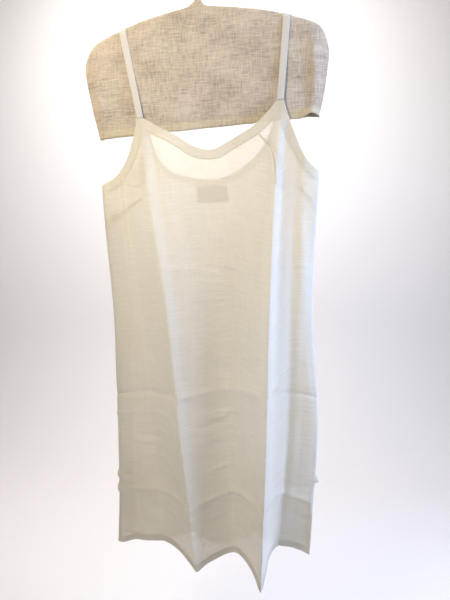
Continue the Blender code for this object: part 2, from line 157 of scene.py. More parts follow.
def make_light(name, place, aim, size, watts, colour):
    lamp = bpy.data.lights.new(name, "AREA")
    lamp.shape = "SQUARE"
    lamp.size = size
    lamp.energy = watts
    lamp.color = colour
    made = bpy.data.objects.new(name, lamp)
    made.location = place
    made.rotation_euler = (Vector(aim) - Vector(place)).to_track_quat("-Z", "Y").to_euler()
    bpy.context.scene.collection.objects.link(made)


make_stage()
for row in LIGHTS:
    make_light(*row)


def make_room():
    """A dim warm room lights the dress, and what the camera sees past the sweep is as pale as it."""
    room = bpy.data.worlds.new("soft room")
    room.use_nodes = True
    tree = room.node_tree
    dim = tree.nodes["Background"]
    dim.inputs["Color"].default_value = ROOM_COLOUR
    dim.inputs["Strength"].default_value = ROOM_STRENGTH
    seen = tree.nodes.new("ShaderNodeBackground")
    seen.inputs["Color"].default_value = SEEN_COLOUR
    choice = tree.nodes.new("ShaderNodeMixShader")
    path = tree.nodes.new("ShaderNodeLightPath")
    tree.links.new(path.outputs["Is Camera Ray"], choice.inputs["Fac"])
    tree.links.new(dim.outputs[0], choice.inputs[1])
    tree.links.new(seen.outputs[0], choice.inputs[2])
    tree.links.new(choice.outputs[0], tree.nodes["World Output"].inputs["Surface"])
    bpy.context.scene.world = room


make_room()
bpy.context.scene.view_settings.view_transform = "Standard"
print("lights:", ", ".join(row[0] for row in LIGHTS))

# %% [markdown]
# ## Finishes
# A finish is a small tree of nodes. The cloth's patterns follow its own measured UV map, where
# one unit is one metre along the cloth, so threads keep their true size round every fold. Dress
# cotton mixes three things: light it throws back, light it lets glow through, and the gaps
# between its threads, which are simply clear. Linen is opaque, with thick and thin threads.

# %% Node helpers


def new_look(name, roughness, sheen=0.0, specular=0.3):
    look = bpy.data.materials.new(name)
    look.use_nodes = True
    shader = look.node_tree.nodes["Principled BSDF"]
    shader.inputs["Roughness"].default_value = roughness
    shader.inputs["Sheen Weight"].default_value = sheen
    shader.inputs["Specular IOR Level"].default_value = specular
    return look, look.node_tree, shader


def add_node(tree, kind, **values):
    """A node with its settings by attribute name, or its sockets by their name with spaces as _."""
    made = tree.nodes.new(kind)
    for key, value in values.items():
        if hasattr(made, key):
            setattr(made, key, value)
        else:
            made.inputs[key.replace("_", " ")].default_value = value
    return made


def pattern_place(tree, across, up, uv=True):
    """Coordinates scaled by `across` and `up` to the metre."""
    source = tree.nodes.new("ShaderNodeTexCoord")
    scale = tree.nodes.new("ShaderNodeMapping")
    scale.inputs["Scale"].default_value = (across, up, up) if uv else (across, across, up)
    tree.links.new(source.outputs["UV" if uv else "Object"], scale.inputs["Vector"])
    return scale.outputs["Vector"]


def grain(tree, across, up, detail=2.0, rough=0.5, uv=True):
    """Soft noise, `across` and `up` waves to the metre, on the cloth's UV map or in space."""
    made = add_node(tree, "ShaderNodeTexNoise", Scale=1.0, Detail=detail, Roughness=rough)
    tree.links.new(pattern_place(tree, across, up, uv), made.inputs["Vector"])
    return made.outputs["Fac"]


def threads(tree, count, direction):
    """Even threads: light on their crowns, dark between them."""
    made = add_node(tree, "ShaderNodeTexWave", Scale=1.0, Distortion=1.2, Detail_Scale=0.4)
    made.bands_direction = direction
    tree.links.new(pattern_place(tree, count, count), made.inputs["Vector"])
    return made.outputs["Fac"]


def summed(tree, parts):
    """The sum of (value, share) pairs."""
    total = None
    for value, share in parts:
        scaled = add_node(tree, "ShaderNodeMath", operation="MULTIPLY_ADD")
        tree.links.new(value, scaled.inputs[0])
        scaled.inputs[1].default_value = share
        scaled.inputs[2].default_value = 0.0
        if total is not None:
            tree.links.new(total, scaled.inputs[2])
        total = scaled.outputs[0]
    return total


def ramp(tree, value, stops):
    """Colours by value, from (place, colour) stops."""
    made = tree.nodes.new("ShaderNodeValToRGB")
    while len(made.color_ramp.elements) < len(stops):
        made.color_ramp.elements.new(0.5)
    for element, (place, colour) in zip(made.color_ramp.elements, stops):
        element.position = place
        element.color = (*colour, 1.0)
    tree.links.new(value, made.inputs["Fac"])
    return made.outputs["Color"]


def bump(tree, shader, height, distance):
    made = add_node(tree, "ShaderNodeBump", Strength=1.0, Distance=distance)
    tree.links.new(height, made.inputs["Height"])
    tree.links.new(made.outputs["Normal"], shader.inputs["Normal"])
    return made.outputs["Normal"]


# %% Dress cotton
THREAD = 2500.0
MULL_LIGHT = (0.970, 0.940, 0.850)
MULL_DARK = (0.900, 0.865, 0.780)
GLOW = (0.955, 0.905, 0.800)
GLOW_SHARE = 0.22
CLEAR_LEVEL = 0.11
# painted shade: towards the hem the cloth is made to let less through, so less of the pale backdrop shows and
# the hem darkens
HEM_SHADE_FROM, HEM_SHADE_TO = -0.86, -1.08
HEM_SHADE = -0.22


def mull_look(name, clear):
    look, tree, shader = new_look(name, 0.86, sheen=0.12, specular=0.18)
    weft = grain(tree, 24.0, 900.0, 3.0)
    warp = grain(tree, 800.0, 20.0)
    cloud = grain(tree, 11.0, 9.0, 3.0)
    crumple = grain(tree, 46.0, 95.0, 4.0, 0.55)
    weave, cross = threads(tree, THREAD, "X"), threads(tree, THREAD, "Y")
    tone = summed(tree, ((weft, 0.34), (warp, 0.12), (cloud, 0.44), (weave, 0.05), (cross, 0.05)))
    tree.links.new(ramp(tree, tone, ((0.30, MULL_DARK), (0.66, MULL_LIGHT))), shader.inputs["Base Color"])
    relief = summed(tree, ((weft, 0.22), (warp, 0.10), (crumple, 2.6), (weave, 0.06), (cross, 0.06)))
    normal = bump(tree, shader, relief, 0.0009)
    through = add_node(tree, "ShaderNodeBsdfTranslucent", Color=(*GLOW, 1.0))
    tree.links.new(normal, through.inputs["Normal"])
    body = add_node(tree, "ShaderNodeMixShader", Fac=GLOW_SHARE)
    tree.links.new(shader.outputs[0], body.inputs[1])
    tree.links.new(through.outputs[0], body.inputs[2])
    gaps = tree.nodes.new("ShaderNodeBsdfTransparent")
    sheer = tree.nodes.new("ShaderNodeMixShader")
    height = add_node(tree, "ShaderNodeSeparateXYZ")
    tree.links.new(add_node(tree, "ShaderNodeTexCoord").outputs["Object"], height.inputs[0])
    # painted shade at the hem: the clear share drops towards the hem
    low = add_node(tree, "ShaderNodeMapRange", From_Min=HEM_SHADE_FROM, From_Max=HEM_SHADE_TO)
    tree.links.new(height.outputs["Z"], low.inputs["Value"])
    open_share = summed(tree, ((weft, -0.16), (warp, -0.06), (low.outputs[0], HEM_SHADE)))
    shifted = add_node(tree, "ShaderNodeMath", operation="ADD", use_clamp=True)
    tree.links.new(open_share, shifted.inputs[0])
    shifted.inputs[1].default_value = clear + CLEAR_LEVEL
    tree.links.new(shifted.outputs[0], sheer.inputs["Fac"])
    tree.links.new(body.outputs[0], sheer.inputs[1])
    tree.links.new(gaps.outputs[0], sheer.inputs[2])
    tree.links.new(sheer.outputs[0], tree.nodes["Material Output"].inputs["Surface"])
    return look


mull = mull_look("mull", 0.50)
folded_mull = mull_look("folded mull", 0.40)

# %% Tape and thread


def tape_look(name, light, dark):
    """A close, flat weave with small ribs across it."""
    look, tree, shader = new_look(name, 0.8, sheen=0.1)
    tone = summed(tree, ((threads(tree, 1400.0, "Y"), 0.35), (grain(tree, 700.0, 260.0), 0.65)))
    tree.links.new(ramp(tree, tone, ((0.25, dark), (0.65, light))), shader.inputs["Base Color"])
    bump(tree, shader, tone, 0.0003)
    return look


tape = tape_look("tape", (0.76, 0.735, 0.70), (0.60, 0.58, 0.545))
label_cloth = tape_look("label cloth", (0.58, 0.51, 0.41), (0.46, 0.39, 0.30))


def thread_look(name, dark, light):
    look, tree, shader = new_look(name, 0.6, sheen=0.1)
    tone = grain(tree, 1800.0, 1800.0, 1.0, uv=False)
    tree.links.new(ramp(tree, tone, ((0.3, dark), (0.7, light))), shader.inputs["Base Color"])
    return look


# partly painted shade: the white thread's darker tones stand in for the shade of the puckers along its
# stitches
thread = thread_look("thread", (0.80, 0.77, 0.70), (0.93, 0.91, 0.86))
linen_thread = thread_look("linen thread", (0.60, 0.50, 0.37), (0.80, 0.70, 0.54))
# painted shadow: thread made dark brown to stand in for the thin shadow line along the overlocked facing ends
# and the tuck's edge
painted_shadow_thread = thread_look("thread with painted shadow", (0.30, 0.20, 0.12), (0.44, 0.31, 0.20))
# painted shade: white thread made darker to stand in for the shade of the puckers along the facing and hem
# stitch rows
thread_with_painted_shade = thread_look("thread with painted shade", (0.58, 0.50, 0.40), (0.74, 0.67, 0.57))

# %% Linen, wood and steel
LINEN_PALE = (0.880, 0.780, 0.650)
LINEN_MID = (0.690, 0.590, 0.480)
LINEN_DARK = (0.420, 0.335, 0.265)
LINEN_THREAD = 1150.0


def linen_look(name, pale=LINEN_PALE, mid=LINEN_MID, dark=LINEN_DARK):
    """Thick and thin threads crossing, with soft darker patches."""
    look, tree, shader = new_look(name, 0.92, sheen=0.15, specular=0.15)
    weft = grain(tree, 55.0, 720.0, 3.0, 0.6)
    warp = grain(tree, 760.0, 60.0, 3.0, 0.6)
    slub = grain(tree, 26.0, 330.0)
    knots = grain(tree, 330.0, 36.0)
    cloud = grain(tree, 14.0, 22.0, 4.0)
    weave, cross = threads(tree, LINEN_THREAD, "X"), threads(tree, LINEN_THREAD, "Y")
    coarse = ((weft, 0.30), (warp, 0.27), (slub, 0.16), (knots, 0.14), (cloud, 0.26))
    tone = summed(tree, (*coarse, (weave, 0.05), (cross, 0.05)))
    colours = ramp(tree, tone, ((0.50, dark), (0.60, mid), (0.71, pale)))
    tree.links.new(colours, shader.inputs["Base Color"])
    relief = summed(tree, ((weft, 0.6), (warp, 0.6), (slub, 0.4), (weave, 0.25), (cross, 0.25)))
    bump(tree, shader, relief, 0.0007)
    return look


linen = linen_look("linen")
linen_edge = linen_look("linen edge", (0.90, 0.82, 0.64), (0.80, 0.69, 0.51), (0.56, 0.46, 0.33))


def wood_look():
    look, tree, shader = new_look("beech", 0.5)
    lines, fleck = grain(tree, 9.0, 320.0, 4.0, uv=False), grain(tree, 120.0, 1400.0, 1.0, uv=False)
    tone = summed(tree, ((lines, 0.75), (fleck, 0.25)))
    colours = ramp(tree, tone, ((0.32, (0.40, 0.25, 0.13)), (0.68, (0.62, 0.43, 0.25))))
    tree.links.new(colours, shader.inputs["Base Color"])
    bump(tree, shader, tone, 0.0003)
    return look


def steel_look():
    look, tree, shader = new_look("plated wire", 0.15, specular=0.5)
    shader.inputs["Metallic"].default_value = 1.0
    drawn = grain(tree, 900.0, 60.0, uv=False)
    colours = ramp(tree, drawn, ((0.3, (0.56, 0.56, 0.55)), (0.7, (0.74, 0.74, 0.73))))
    tree.links.new(colours, shader.inputs["Base Color"])
    tree.links.new(summed(tree, ((drawn, 0.30),)), shader.inputs["Roughness"])
    return look


beech = wood_look()
steel = steel_look()
print("finishes:", ", ".join(sorted(m.name for m in bpy.data.materials if m.users == 0)))

# %% [markdown]
# ## The cut and the folds
# The dress is two panels, a front and a back, wider at the hem than under the arms. Hung up, each
# falls into two sharp ridges with wide valleys between. Seven fold lines describe a panel: where
# each one is, and how far it stands out, at five heights. Every piece of the dress is then placed
# by a column (which fold line, and how far to the next) and a height.

# %% Sizes of the dress


def metres(rows):
    """A table of millimetres in metres; names stay as they are."""
    made = []
    for row in rows:
        if isinstance(row, tuple):
            made.append(metres(row))
        else:
            made.append(row if isinstance(row, str) else row / 1000)
    return tuple(made)


SEAM_GAP = 0.00035
LAST_COLUMN = 6
STRAP_FOOT = -0.260
UNDERARM = -0.393
WAIST = -0.620
HIP = -0.850
HEM = -1.072
SLIT_TOP = -0.945
LEVELS = (HEM, HIP, WAIST, UNDERARM, STRAP_FOOT)
HEM_SAG_START = -0.420
FOLD_COLUMNS = ("name", "across", "out", "sag")
FRONT_FOLDS = metres((
    ("left seam", (-187, -181, -179, -191, -193), (14, 0, 0, 0, 13.5), 0),
    ("left valley", (-105, -114, -130, -150, -155), (8, 16, 20, 14, 13.5), 0),
    ("ridge 1", (-19, -41, -62, -97, -111), (88, 83, 66, 34, 13.5), 9),
    ("middle valley", (42, 40, 30, 20, 18), (36, 33, 30, 20, 13.5), 0),
    ("ridge 2", (95, 108, 118, 132, 143), (116, 94, 68, 33, 13.5), 22),
    ("right valley", (124, 148, 160, 172, 176), (6, 12, 20, 14, 13.5), 0),
    ("right seam", (178, 198, 192, 208, 207), (26, 0, 0, 0, 13.5), 4),
))
BACK_FOLDS = metres((
    ("left seam", (-187, -181, -179, -191, -193), (16, 0, 0, 0, 13.5), 0),
    ("left valley", (-128, -130, -138, -150, -155), (18, 20, 20, 14, 13.5), 10),
    ("ridge 1", (-60, -68, -80, -102, -111), (86, 72, 52, 28, 13.5), 28),
    ("middle valley", (8, 12, 15, 18, 18), (28, 28, 26, 20, 13.5), 20),
    ("ridge 2", (72, 90, 108, 134, 143), (98, 80, 58, 30, 13.5), 30),
    ("right valley", (128, 144, 156, 172, 176), (20, 20, 20, 14, 13.5), 10),
    ("right seam", (178, 198, 192, 208, 207), (18, 0, 0, 0, 13.5), 0),
))
RIDGE_ROUND = 0.045
FLANK_BEND = 1.8
SLIT_MOUTH_CURVE = 1.3
LEFT_ARMHOLE = metres((
    (-191, -393), (-170, -382), (-150, -363), (-136, -342),
    (-127, -318), (-120.5, -295), (-116.5, -275),
))
RIGHT_ARMHOLE = metres((
    (149, -259), (154, -279), (161, -300), (170, -326),
    (181, -353), (193, -371), (208, -385),
))
FRONT_NECKLINE = metres((
    (-104.5, -275), (-80, -290), (-43, -311), (-12, -331),
    (20, -338), (50, -325), (92, -303), (118, -281), (137, -259),
))
BACK_NECKLINE = metres((
    (-104.5, -275), (-98, -310), (-85, -343), (-60, -368),
    (10, -384), (50, -377), (85, -355), (118, -315), (137, -259),
))
LEFT_FOOT_X = (-0.1165, -0.1045)
RIGHT_FOOT_X = (0.137, 0.149)
LEFT_FOOT_Z = LEFT_ARMHOLE[-1][1]
RIGHT_FOOT_Z = RIGHT_ARMHOLE[0][1]
NEAR_COLUMN = 0.02
NEAR_HEIGHT = 0.002
HALVINGS = 32
SEAM_CALM = 0.25
TROUGH_REACH = 2.5
TROUGH_UNEVEN = 0.35


def along(table, at):
    """The value at `at` on a smooth curve through (place, value) rows in rising order of place."""
    places = [place for place, _ in table]
    last = len(table) - 1
    k = min(max(bisect_right(places, at) - 1, 0), last - 1)

    def slope(i):
        before, after = max(i - 1, 0), min(i + 1, last)
        return (table[after][1] - table[before][1]) / (places[after] - places[before])

    (x0, y0), (x1, y1) = table[k], table[k + 1]
    width = x1 - x0
    t = min(max((at - x0) / width, 0.0), 1.0)
    rise = y0 * (1 + 2 * t) * (1 - t) ** 2 + y1 * t * t * (3 - 2 * t)
    return rise + width * (slope(k) * t * (1 - t) ** 2 - slope(k + 1) * t * t * (1 - t))


# %% [markdown]
# ## Creases
# A dress that was folded for sale keeps its press lines: sharp, nearly level, each a small tent
# or groove. Between them lie soft wrinkles that run every way. Press lines are given by height
# and columns, wrinkles by a few points of their route. The back has its own set.

# %% Crease tables
FRONT_PRESSES = (
    # height at its start and at its end, from column, to column, depth, width
    (-0.551, -0.549, 2.0, 3.5, 0.0016, 0.0050),
    (-0.547, -0.552, 4.3, 5.7, 0.0008, 0.0040),
    (-0.784, -0.771, 0.05, 1.95, -0.0032, 0.0046),
    (-0.773, -0.764, 1.95, 3.95, 0.0046, 0.0100),
    (-0.767, -0.790, 4.05, 5.95, -0.0030, 0.0044),
    (-0.822, -0.812, 0.05, 1.80, 0.0023, 0.0036),
    (-0.812, -0.805, 2.30, 3.40, 0.0024, 0.0036),
    (-0.972, -0.960, 0.05, 2.00, 0.0042, 0.0065),
    (-0.965, -0.951, 1.95, 3.80, 0.0048, 0.0075),
    (-0.949, -0.990, 4.10, 5.95, 0.0040, 0.0065),
)
BACK_PRESSES = (
    (-0.552, -0.550, 1.2, 5.2, 0.0013, 0.0045),
    (-0.776, -0.768, 0.05, 2.1, 0.0024, 0.0050),
    (-0.770, -0.766, 2.0, 4.1, -0.0026, 0.0055),
    (-0.768, -0.778, 4.0, 5.95, 0.0024, 0.0050),
    (-0.814, -0.808, 0.6, 5.2, 0.0013, 0.0036),
    (-0.966, -0.954, 0.05, 2.1, 0.0028, 0.0060),
    (-0.956, -0.950, 2.0, 4.0, 0.0025, 0.0055),
    (-0.950, -0.972, 3.9, 5.95, 0.0030, 0.0060),
)
WRINKLES = metres((
    # route of (x, height) points, depth, half width
    (((-10, -822), (20, -818), (46, -810)), 1.6, 3.8),
    (((-14, -833), (30, -828)), -1.4, 3.8),
    (((-12, -846), (18, -842), (40, -839)), 1.4, 3.8),
    (((-16, -862), (34, -852)), 1.3, 4.2),
    (((-12, -918), (12, -911), (44, -902)), 2, 4),
    (((-150, -884), (-105, -872), (-70, -878)), 1.5, 5.5),
    (((-140, -905), (-95, -894), (-60, -908)), 1.6, 5),
    (((-78, -895), (-52, -925), (-34, -942)), 2.4, 5),
    (((-5, -548), (30, -551), (62, -556)), -2.4, 5),
    (((20, -538), (60, -545)), 1.8, 5.5),
    (((-10, -640), (30, -644)), 0.5, 7),
    (((0, -672), (50, -668)), -0.5, 8),
    (((62, -690), (82, -722), (80, -752)), -3, 15),
    (((10, -722), (46, -738)), -1.8, 12),
    (((-130, -690), (-100, -700), (-85, -735)), -1.6, 13),
    (((168, -420), (176, -520), (176, -640)), 1.4, 8),
    (((186, -440), (192, -540), (190, -660)), -1.2, 7),
    (((178, -700), (186, -800), (186, -880)), 1.2, 8),
    (((10, -420), (30, -520), (34, -620)), 1.8, 14),
    (((66, -400), (74, -500), (78, -600)), -2, 12),
    (((-50, -400), (-30, -480), (-10, -560)), -1.2, 13),
    (((-150, -470), (-148, -560), (-140, -660)), -1.2, 7),
    (((200, -985), (182, -1000), (168, -1012)), 2.2, 5.5),
    (((-66, -760), (-52, -772), (-46, -784)), -3.4, 4.5),
    (((100, -760), (116, -774)), -3.6, 4),
    (((117, -774), (130, -762)), -3.6, 4),
    (((84, -936), (101, -952), (107, -968)), -2.6, 4),
    (((92, -1000), (100, -1030)), -2.6, 4.5),
    (((-43, -950), (-31, -966)), -2.8, 4.5),
    (((-178, -936), (-170, -950), (-158, -958)), 2.4, 5),
    (((80, -960), (94, -990)), -1.2, 5),
))
HIDDEN_SHIFT = 0.024
WRINKLE_REACH = 2.6
PUCKERS = (
    # side, height, how far the seam stands out, half height
    (-1, -0.940, 0.0034, 0.0060),
    (-1, -0.966, 0.0030, 0.0070),
    (1, -0.944, 0.0042, 0.0050),
)
FOLD_TROUGHS = (
    # fold line, distance to its right, half width, depth
    (2, 0.017, 0.010, -0.0034),
    (2, -0.012, 0.007, -0.0010),
    (4, 0.016, 0.008, -0.0050),
    (4, -0.014, 0.008, -0.0012),
    (1, 0.006, 0.008, -0.0018),
    (3, 0.030, 0.012, -0.0016),
    (5, 0.008, 0.007, 0.0014),
    (0, 0.010, 0.010, 0.0062),
    (0, 0.034, 0.011, -0.0048),
)
CRUMPLE_ZONES = metres((
    # middle x, middle height, half width, half height, depth
    (12, -840, 60, 60, 1.8),
    (-105, -880, 60, 70, 1.6),
    (20, -1000, 70, 55, 1.6),
    (165, -990, 45, 60, 1.5),
    (20, -580, 80, 130, 0.9),
    (-105, -1000, 60, 50, 1.3),
    (170, -480, 40, 120, 0.8),
))


def route_distance(route, x, z):
    """Distance from a place to a route, and how far along it the nearest point is, 0 to 1."""
    best, where, run = 1e9, 0.0, 0.0
    lengths = [hypot(b[0] - a[0], b[1] - a[1]) for a, b in zip(route, route[1:])]
    for (x0, z0), (x1, z1), long in zip(route, route[1:], lengths):
        t = ((x - x0) * (x1 - x0) + (z - z0) * (z1 - z0)) / (long * long)
        t = min(max(t, 0.0), 1.0)
        gap = hypot(x - x0 - t * (x1 - x0), z - z0 - t * (z1 - z0))
        if gap < best:
            best, where = gap, run + t * long
        run += long
    return best, where / run


def smooth(t):
    t = min(max(t, 0.0), 1.0)
    return t * t * (3 - 2 * t)


def pucker(side, z):
    """Where a side seam ends its stitches pull, and the seam stands out a little."""
    return sum(side * out * exp(-(((z - at) / tall) ** 2)) for end, at, out, tall in PUCKERS if end == side)


def press_relief(presses, column, z):
    total = 0.0
    for height, end, first, last, depth, width in presses:
        height += (end - height) * (column - first) / (last - first)
        if abs(z - height) > 6 * width:
            continue
        gap = abs(z - height - 0.0012 * noise.noise(Vector((column * 1.7, depth * 900, 0.0))))
        if gap < 5 * width and first < column < last:
            fade = smooth((column - first) / 0.25) * smooth((last - column) / 0.25)
            total += depth * fade * exp(-gap / width)
    return total


def wrinkle_relief(wrinkles, x, z):
    total = 0.0
    for route, depth, width in wrinkles:
        reach = WRINKLE_REACH * width
        xs = [place[0] for place in route]
        heights = [place[1] for place in route]
        if not (min(xs) - reach < x < max(xs) + reach and min(heights) - reach < z < max(heights) + reach):
            continue
        gap, where = route_distance(route, x, z)
        if gap < reach and 0 < where < 1:
            total += depth * sin(pi * where) ** 0.6 * exp(-((gap / width) ** 2))
    return total


def crumple_relief(x, z, turn):
    total = 0.0
    for middle, height, wide, tall, depth in CRUMPLE_ZONES:
        far = ((x - middle) / wide) ** 2 + ((z - height) / tall) ** 2
        if far < 1:
            wave = noise.noise(Vector((x * 16 + turn, z * 105, turn)))
            total += depth * (1 - far) * wave
    return total


print("creases:", len(FRONT_PRESSES) + len(BACK_PRESSES), "press lines,", len(WRINKLES), "wrinkles")

# %% The panel: folds, creases and a direction outwards


class Panel:
    """One side of the dress: its folds give the cloth's place at any column and height."""

    def __init__(self, folds, neckline, presses, side):
        self.folds = [dict(zip(FOLD_COLUMNS, row)) for row in folds]
        self.tables = [
            (list(zip(LEVELS, fold["across"])), list(zip(LEVELS, fold["out"]))) for fold in self.folds
        ]
        self.neckline = neckline
        self.presses = presses
        self.side = side
        shift = 0.0 if side < 0 else HIDDEN_SHIFT
        self.wrinkles = [
            ([(x + shift, z - shift / 3) for x, z in route], depth, width) for route, depth, width in WRINKLES
        ]

    def line(self, index, z):
        """X and distance out of one fold line at a height."""
        across, out = self.tables[index]
        if index in (0, LAST_COLUMN):
            return along(across, z) + pucker(-1 if index == 0 else 1, z), self.edge_out(self.folds[index], z)
        return along(across, z), along(out, z)

    def edge_out(self, fold, z):
        """A side edge stays at its seam between underarm and slit, and opens above and below."""
        if z < SLIT_TOP:
            opened = (SLIT_TOP - z) / (SLIT_TOP - HEM)
            return SEAM_GAP + fold["out"][0] * opened**SLIT_MOUTH_CURVE
        if z > UNDERARM:
            risen = (z - UNDERARM) / (STRAP_FOOT - UNDERARM)
            return SEAM_GAP + fold["out"][-1] * min(risen, 1.0)
        return SEAM_GAP

    def flat(self, column, z):
        """X and distance out at a column, 0 to 6 across the seven fold lines."""
        k = min(int(column), LAST_COLUMN - 1)
        part = column - k
        (x0, out0), (x1, out1) = self.line(k, z), self.line(k + 1, z)
        at_ridge_first = k % 2 == 0 and 0 < k
        if k in (0, LAST_COLUMN - 1):
            toward_edge = 1 - part if k == 0 else part
            q = sin(toward_edge * pi / 2)
            edge, edge_out, valley, valley_out = (x0, out0, x1, out1) if k == 0 else (x1, out1, x0, out0)
            shut = min(max((z - HEM) / (SLIT_TOP - HEM), 0.0), 1.0)
            bend = shut * (1 - sqrt(max(1 - q * q, 0.0))) + (1 - shut) * q * q
            return valley + (edge - valley) * q, valley_out + (edge_out - valley_out) * bend
        run = part if at_ridge_first else 1 - part
        run = (sqrt(run * run + RIDGE_ROUND**2) - RIDGE_ROUND) / (sqrt(1 + RIDGE_ROUND**2) - RIDGE_ROUND)
        fall = 1 - (1 - run) ** FLANK_BEND
        if at_ridge_first:
            return x0 + (x1 - x0) * part, out0 + (out1 - out0) * fall
        return x0 + (x1 - x0) * part, out1 + (out0 - out1) * fall

    def sag(self, column, z):
        """How far the cloth at this column drops below its flat height."""
        k = min(int(column), LAST_COLUMN - 1)
        part = smooth(column - k)
        drop = self.folds[k]["sag"] * (1 - part) + self.folds[k + 1]["sag"] * part
        depth = max((HEM_SAG_START - z) / (HEM_SAG_START - HEM), 0.0)
        return drop * depth * depth

    def point(self, column, z):
        x, out = self.flat(column, z)
        return Vector((x, self.side * out, z - self.sag(column, z)))

    def outward(self, column, z):
        """The direction square to the cloth, away from the wearer."""
        right = min(column + NEAR_COLUMN, float(LAST_COLUMN))
        left = max(column - NEAR_COLUMN, 0.0)
        across = self.point(right, z) - self.point(left, z)
        upward = self.point(column, z + NEAR_HEIGHT) - self.point(column, z - NEAR_HEIGHT)
        return across.cross(upward).normalized() * -self.side

    def relief(self, column, x, z):
        """How far the creases stand out, none at the side seams."""
        seam = smooth(min(column, LAST_COLUMN - column) / SEAM_CALM)
        made = press_relief(self.presses, column, z)
        made += wrinkle_relief(self.wrinkles, x, z) + crumple_relief(x, z, self.side)
        return (made + self.trough_relief(column, x, z)) * seam

    def trough_relief(self, column, x, z):
        """Long soft troughs beside the fold lines, which make each fold's edge crisp."""
        total = 0.0
        for index, aside, width, depth in FOLD_TROUGHS:
            if abs(column - index) < 1:
                gap = (x - self.line(index, z)[0] - aside) / width
                if abs(gap) < TROUGH_REACH:
                    uneven = 1 + TROUGH_UNEVEN * noise.noise(Vector((index * 3.1, z * 7, self.side)))
                    total += depth * uneven * exp(-gap * gap) * smooth((STRAP_FOOT - 0.02 - z) / 0.04)
        return total

    def surface(self, column, z, out=0.0):
        """The cloth's middle with its creases, or a place `out` from it, outwards when positive."""
        middle = self.point(column, z)
        return middle + self.outward(column, z) * (self.relief(column, middle.x, z) + out)

    def at(self, x, z, out):
        """The surface at an X instead of a column."""
        return self.surface(self.column_at(x, z), z, out)

    def outline(self, x):
        """Height of the top edge above an X."""
        if x <= LEFT_FOOT_X[0]:
            return along(LEFT_ARMHOLE, x)
        if x >= RIGHT_FOOT_X[1]:
            return along(RIGHT_ARMHOLE, x)
        return along(self.neckline, min(max(x, LEFT_FOOT_X[1]), RIGHT_FOOT_X[0]))

    def top(self, column):
        """Height where a column meets the top edge."""
        z = UNDERARM
        for _ in range(50):
            z = (z + self.outline(self.flat(column, z)[0])) / 2
        return z

    def column_at(self, x, z):
        """The column whose cloth lies at an X, found by halving."""
        low, high = 0.0, float(LAST_COLUMN)
        for _ in range(HALVINGS):
            middle = (low + high) / 2
            if self.flat(middle, z)[0] < x:
                low = middle
            else:
                high = middle
        return (low + high) / 2


front = Panel(FRONT_FOLDS, FRONT_NECKLINE, FRONT_PRESSES, -1)
back = Panel(BACK_FOLDS, BACK_NECKLINE, BACK_PRESSES, 1)
PANELS = ((front, "front"), (back, "back"))
SIDES = ((True, "left"), (False, "right"))
print("hem of the front at ridge 2:", tuple(round(c, 3) for c in front.surface(4.0, HEM)))

# %% [markdown]
# ## Making cloth
# Every piece of cloth starts as one flat grid, like the cloth on the cutting table. Each of its
# points is then carried to its place, and the distances along the finished cloth become its UV
# map in metres. A thin wall turns it into a real shell with two faces and a rim.

# %% Cloth from a grid
CLOTH_WALL = 0.0004


def measured_uv(bm, spots, across, up, level):
    """UVs that are true distances along the cloth. On a level cut the weft runs level throughout."""
    reach = {}
    for j in range(up + 1):
        run = 0.0
        for i in range(across + 1):
            if i:
                step = spots[i, j].co - spots[i - 1, j].co
                run += step.xy.length if level else step.length
            reach[i, j] = [run, 0.0]
        for i in range(across + 1):
            reach[i, j][0] -= run / 2
    for i in range(across + 1):
        run = 0.0
        for j in range(1, up + 1):
            run += (spots[i, j].co - spots[i, j - 1].co).length
            reach[i, j][1] = run
    layer = bm.loops.layers.uv.new("Cloth")
    places = {vert: reach[spot] for spot, vert in spots.items()}
    for face in bm.faces:
        for loop in face.loops:
            loop[layer].uv = places[loop.vert]


def piece_from(bm, name, look):
    mesh = bpy.data.meshes.new(name)
    bm.to_mesh(mesh)
    bm.free()
    mesh.shade_smooth()
    made = bpy.data.objects.new(name, mesh)
    bpy.context.scene.collection.objects.link(made)
    made.data.materials.append(look)
    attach(made, "root")
    return made


def cloth(
    name, across, up, place, look, wall=CLOTH_WALL, align=0.0, level=False, relief=None
):
    """A grid of across by up squares, each point carried to place(u, v) with u and v from 0 to 1.
    Where there is relief(u, v), each point then moves that far square to the cloth."""
    bm = bmesh.new()
    bmesh.ops.create_grid(bm, x_segments=across, y_segments=up, size=0.5)
    spots = {}
    for vert in bm.verts:
        u, v = vert.co.x + 0.5, vert.co.y + 0.5
        spots[round(u * across), round(v * up)] = vert
        vert.co = place(u, v)
    if relief:
        bm.normal_update()
        moves = [(vert, vert.normal * relief(i / across, j / up)) for (i, j), vert in spots.items()]
        for vert, move in moves:
            vert.co += move
    measured_uv(bm, spots, across, up, level)
    closed = (spots[0, 0].co - spots[across, 0].co).length < 1e-6
    if closed:
        bmesh.ops.remove_doubles(bm, verts=bm.verts, dist=1e-6)
        bmesh.ops.recalc_face_normals(bm, faces=bm.faces)
    made = piece_from(bm, name, look)
    shell = made.modifiers.new("Wall", "SOLIDIFY")
    shell.thickness = wall
    shell.offset = align
    return made


def flat_size(piece):
    """Width, length and area of the cloth in metres, from its measured UVs."""
    layer = piece.data.uv_layers["Cloth"].data
    us = [corner.uv.x for corner in layer]
    vs = [corner.uv.y for corner in layer]
    area = sum(polygon.area for polygon in piece.data.polygons)
    return round(max(us) - min(us), 3), round(max(vs) - min(vs), 3), round(area, 4)


# %% [markdown]
# ## Making stitches
# A row of stitches is a row of small thread lumps along a route. Every lump is the same plain
# ball, stretched along the route, so a whole row stays light. The rows are what show where two
# layers of cloth are joined, as on the real dress.

# %% Stitch rows
STITCH = 0.0026
STITCH_THICK = 0.00032
STITCH_SHARE = 0.40
TRACE_STEPS = 90


def evenly(route, spacing):
    """Places at even distances along a route of close points."""
    places = [route[0]]
    for spot in route[1:]:
        while (spot - places[-1]).length >= spacing:
            places.append(places[-1] + (spot - places[-1]).normalized() * spacing)
    return places


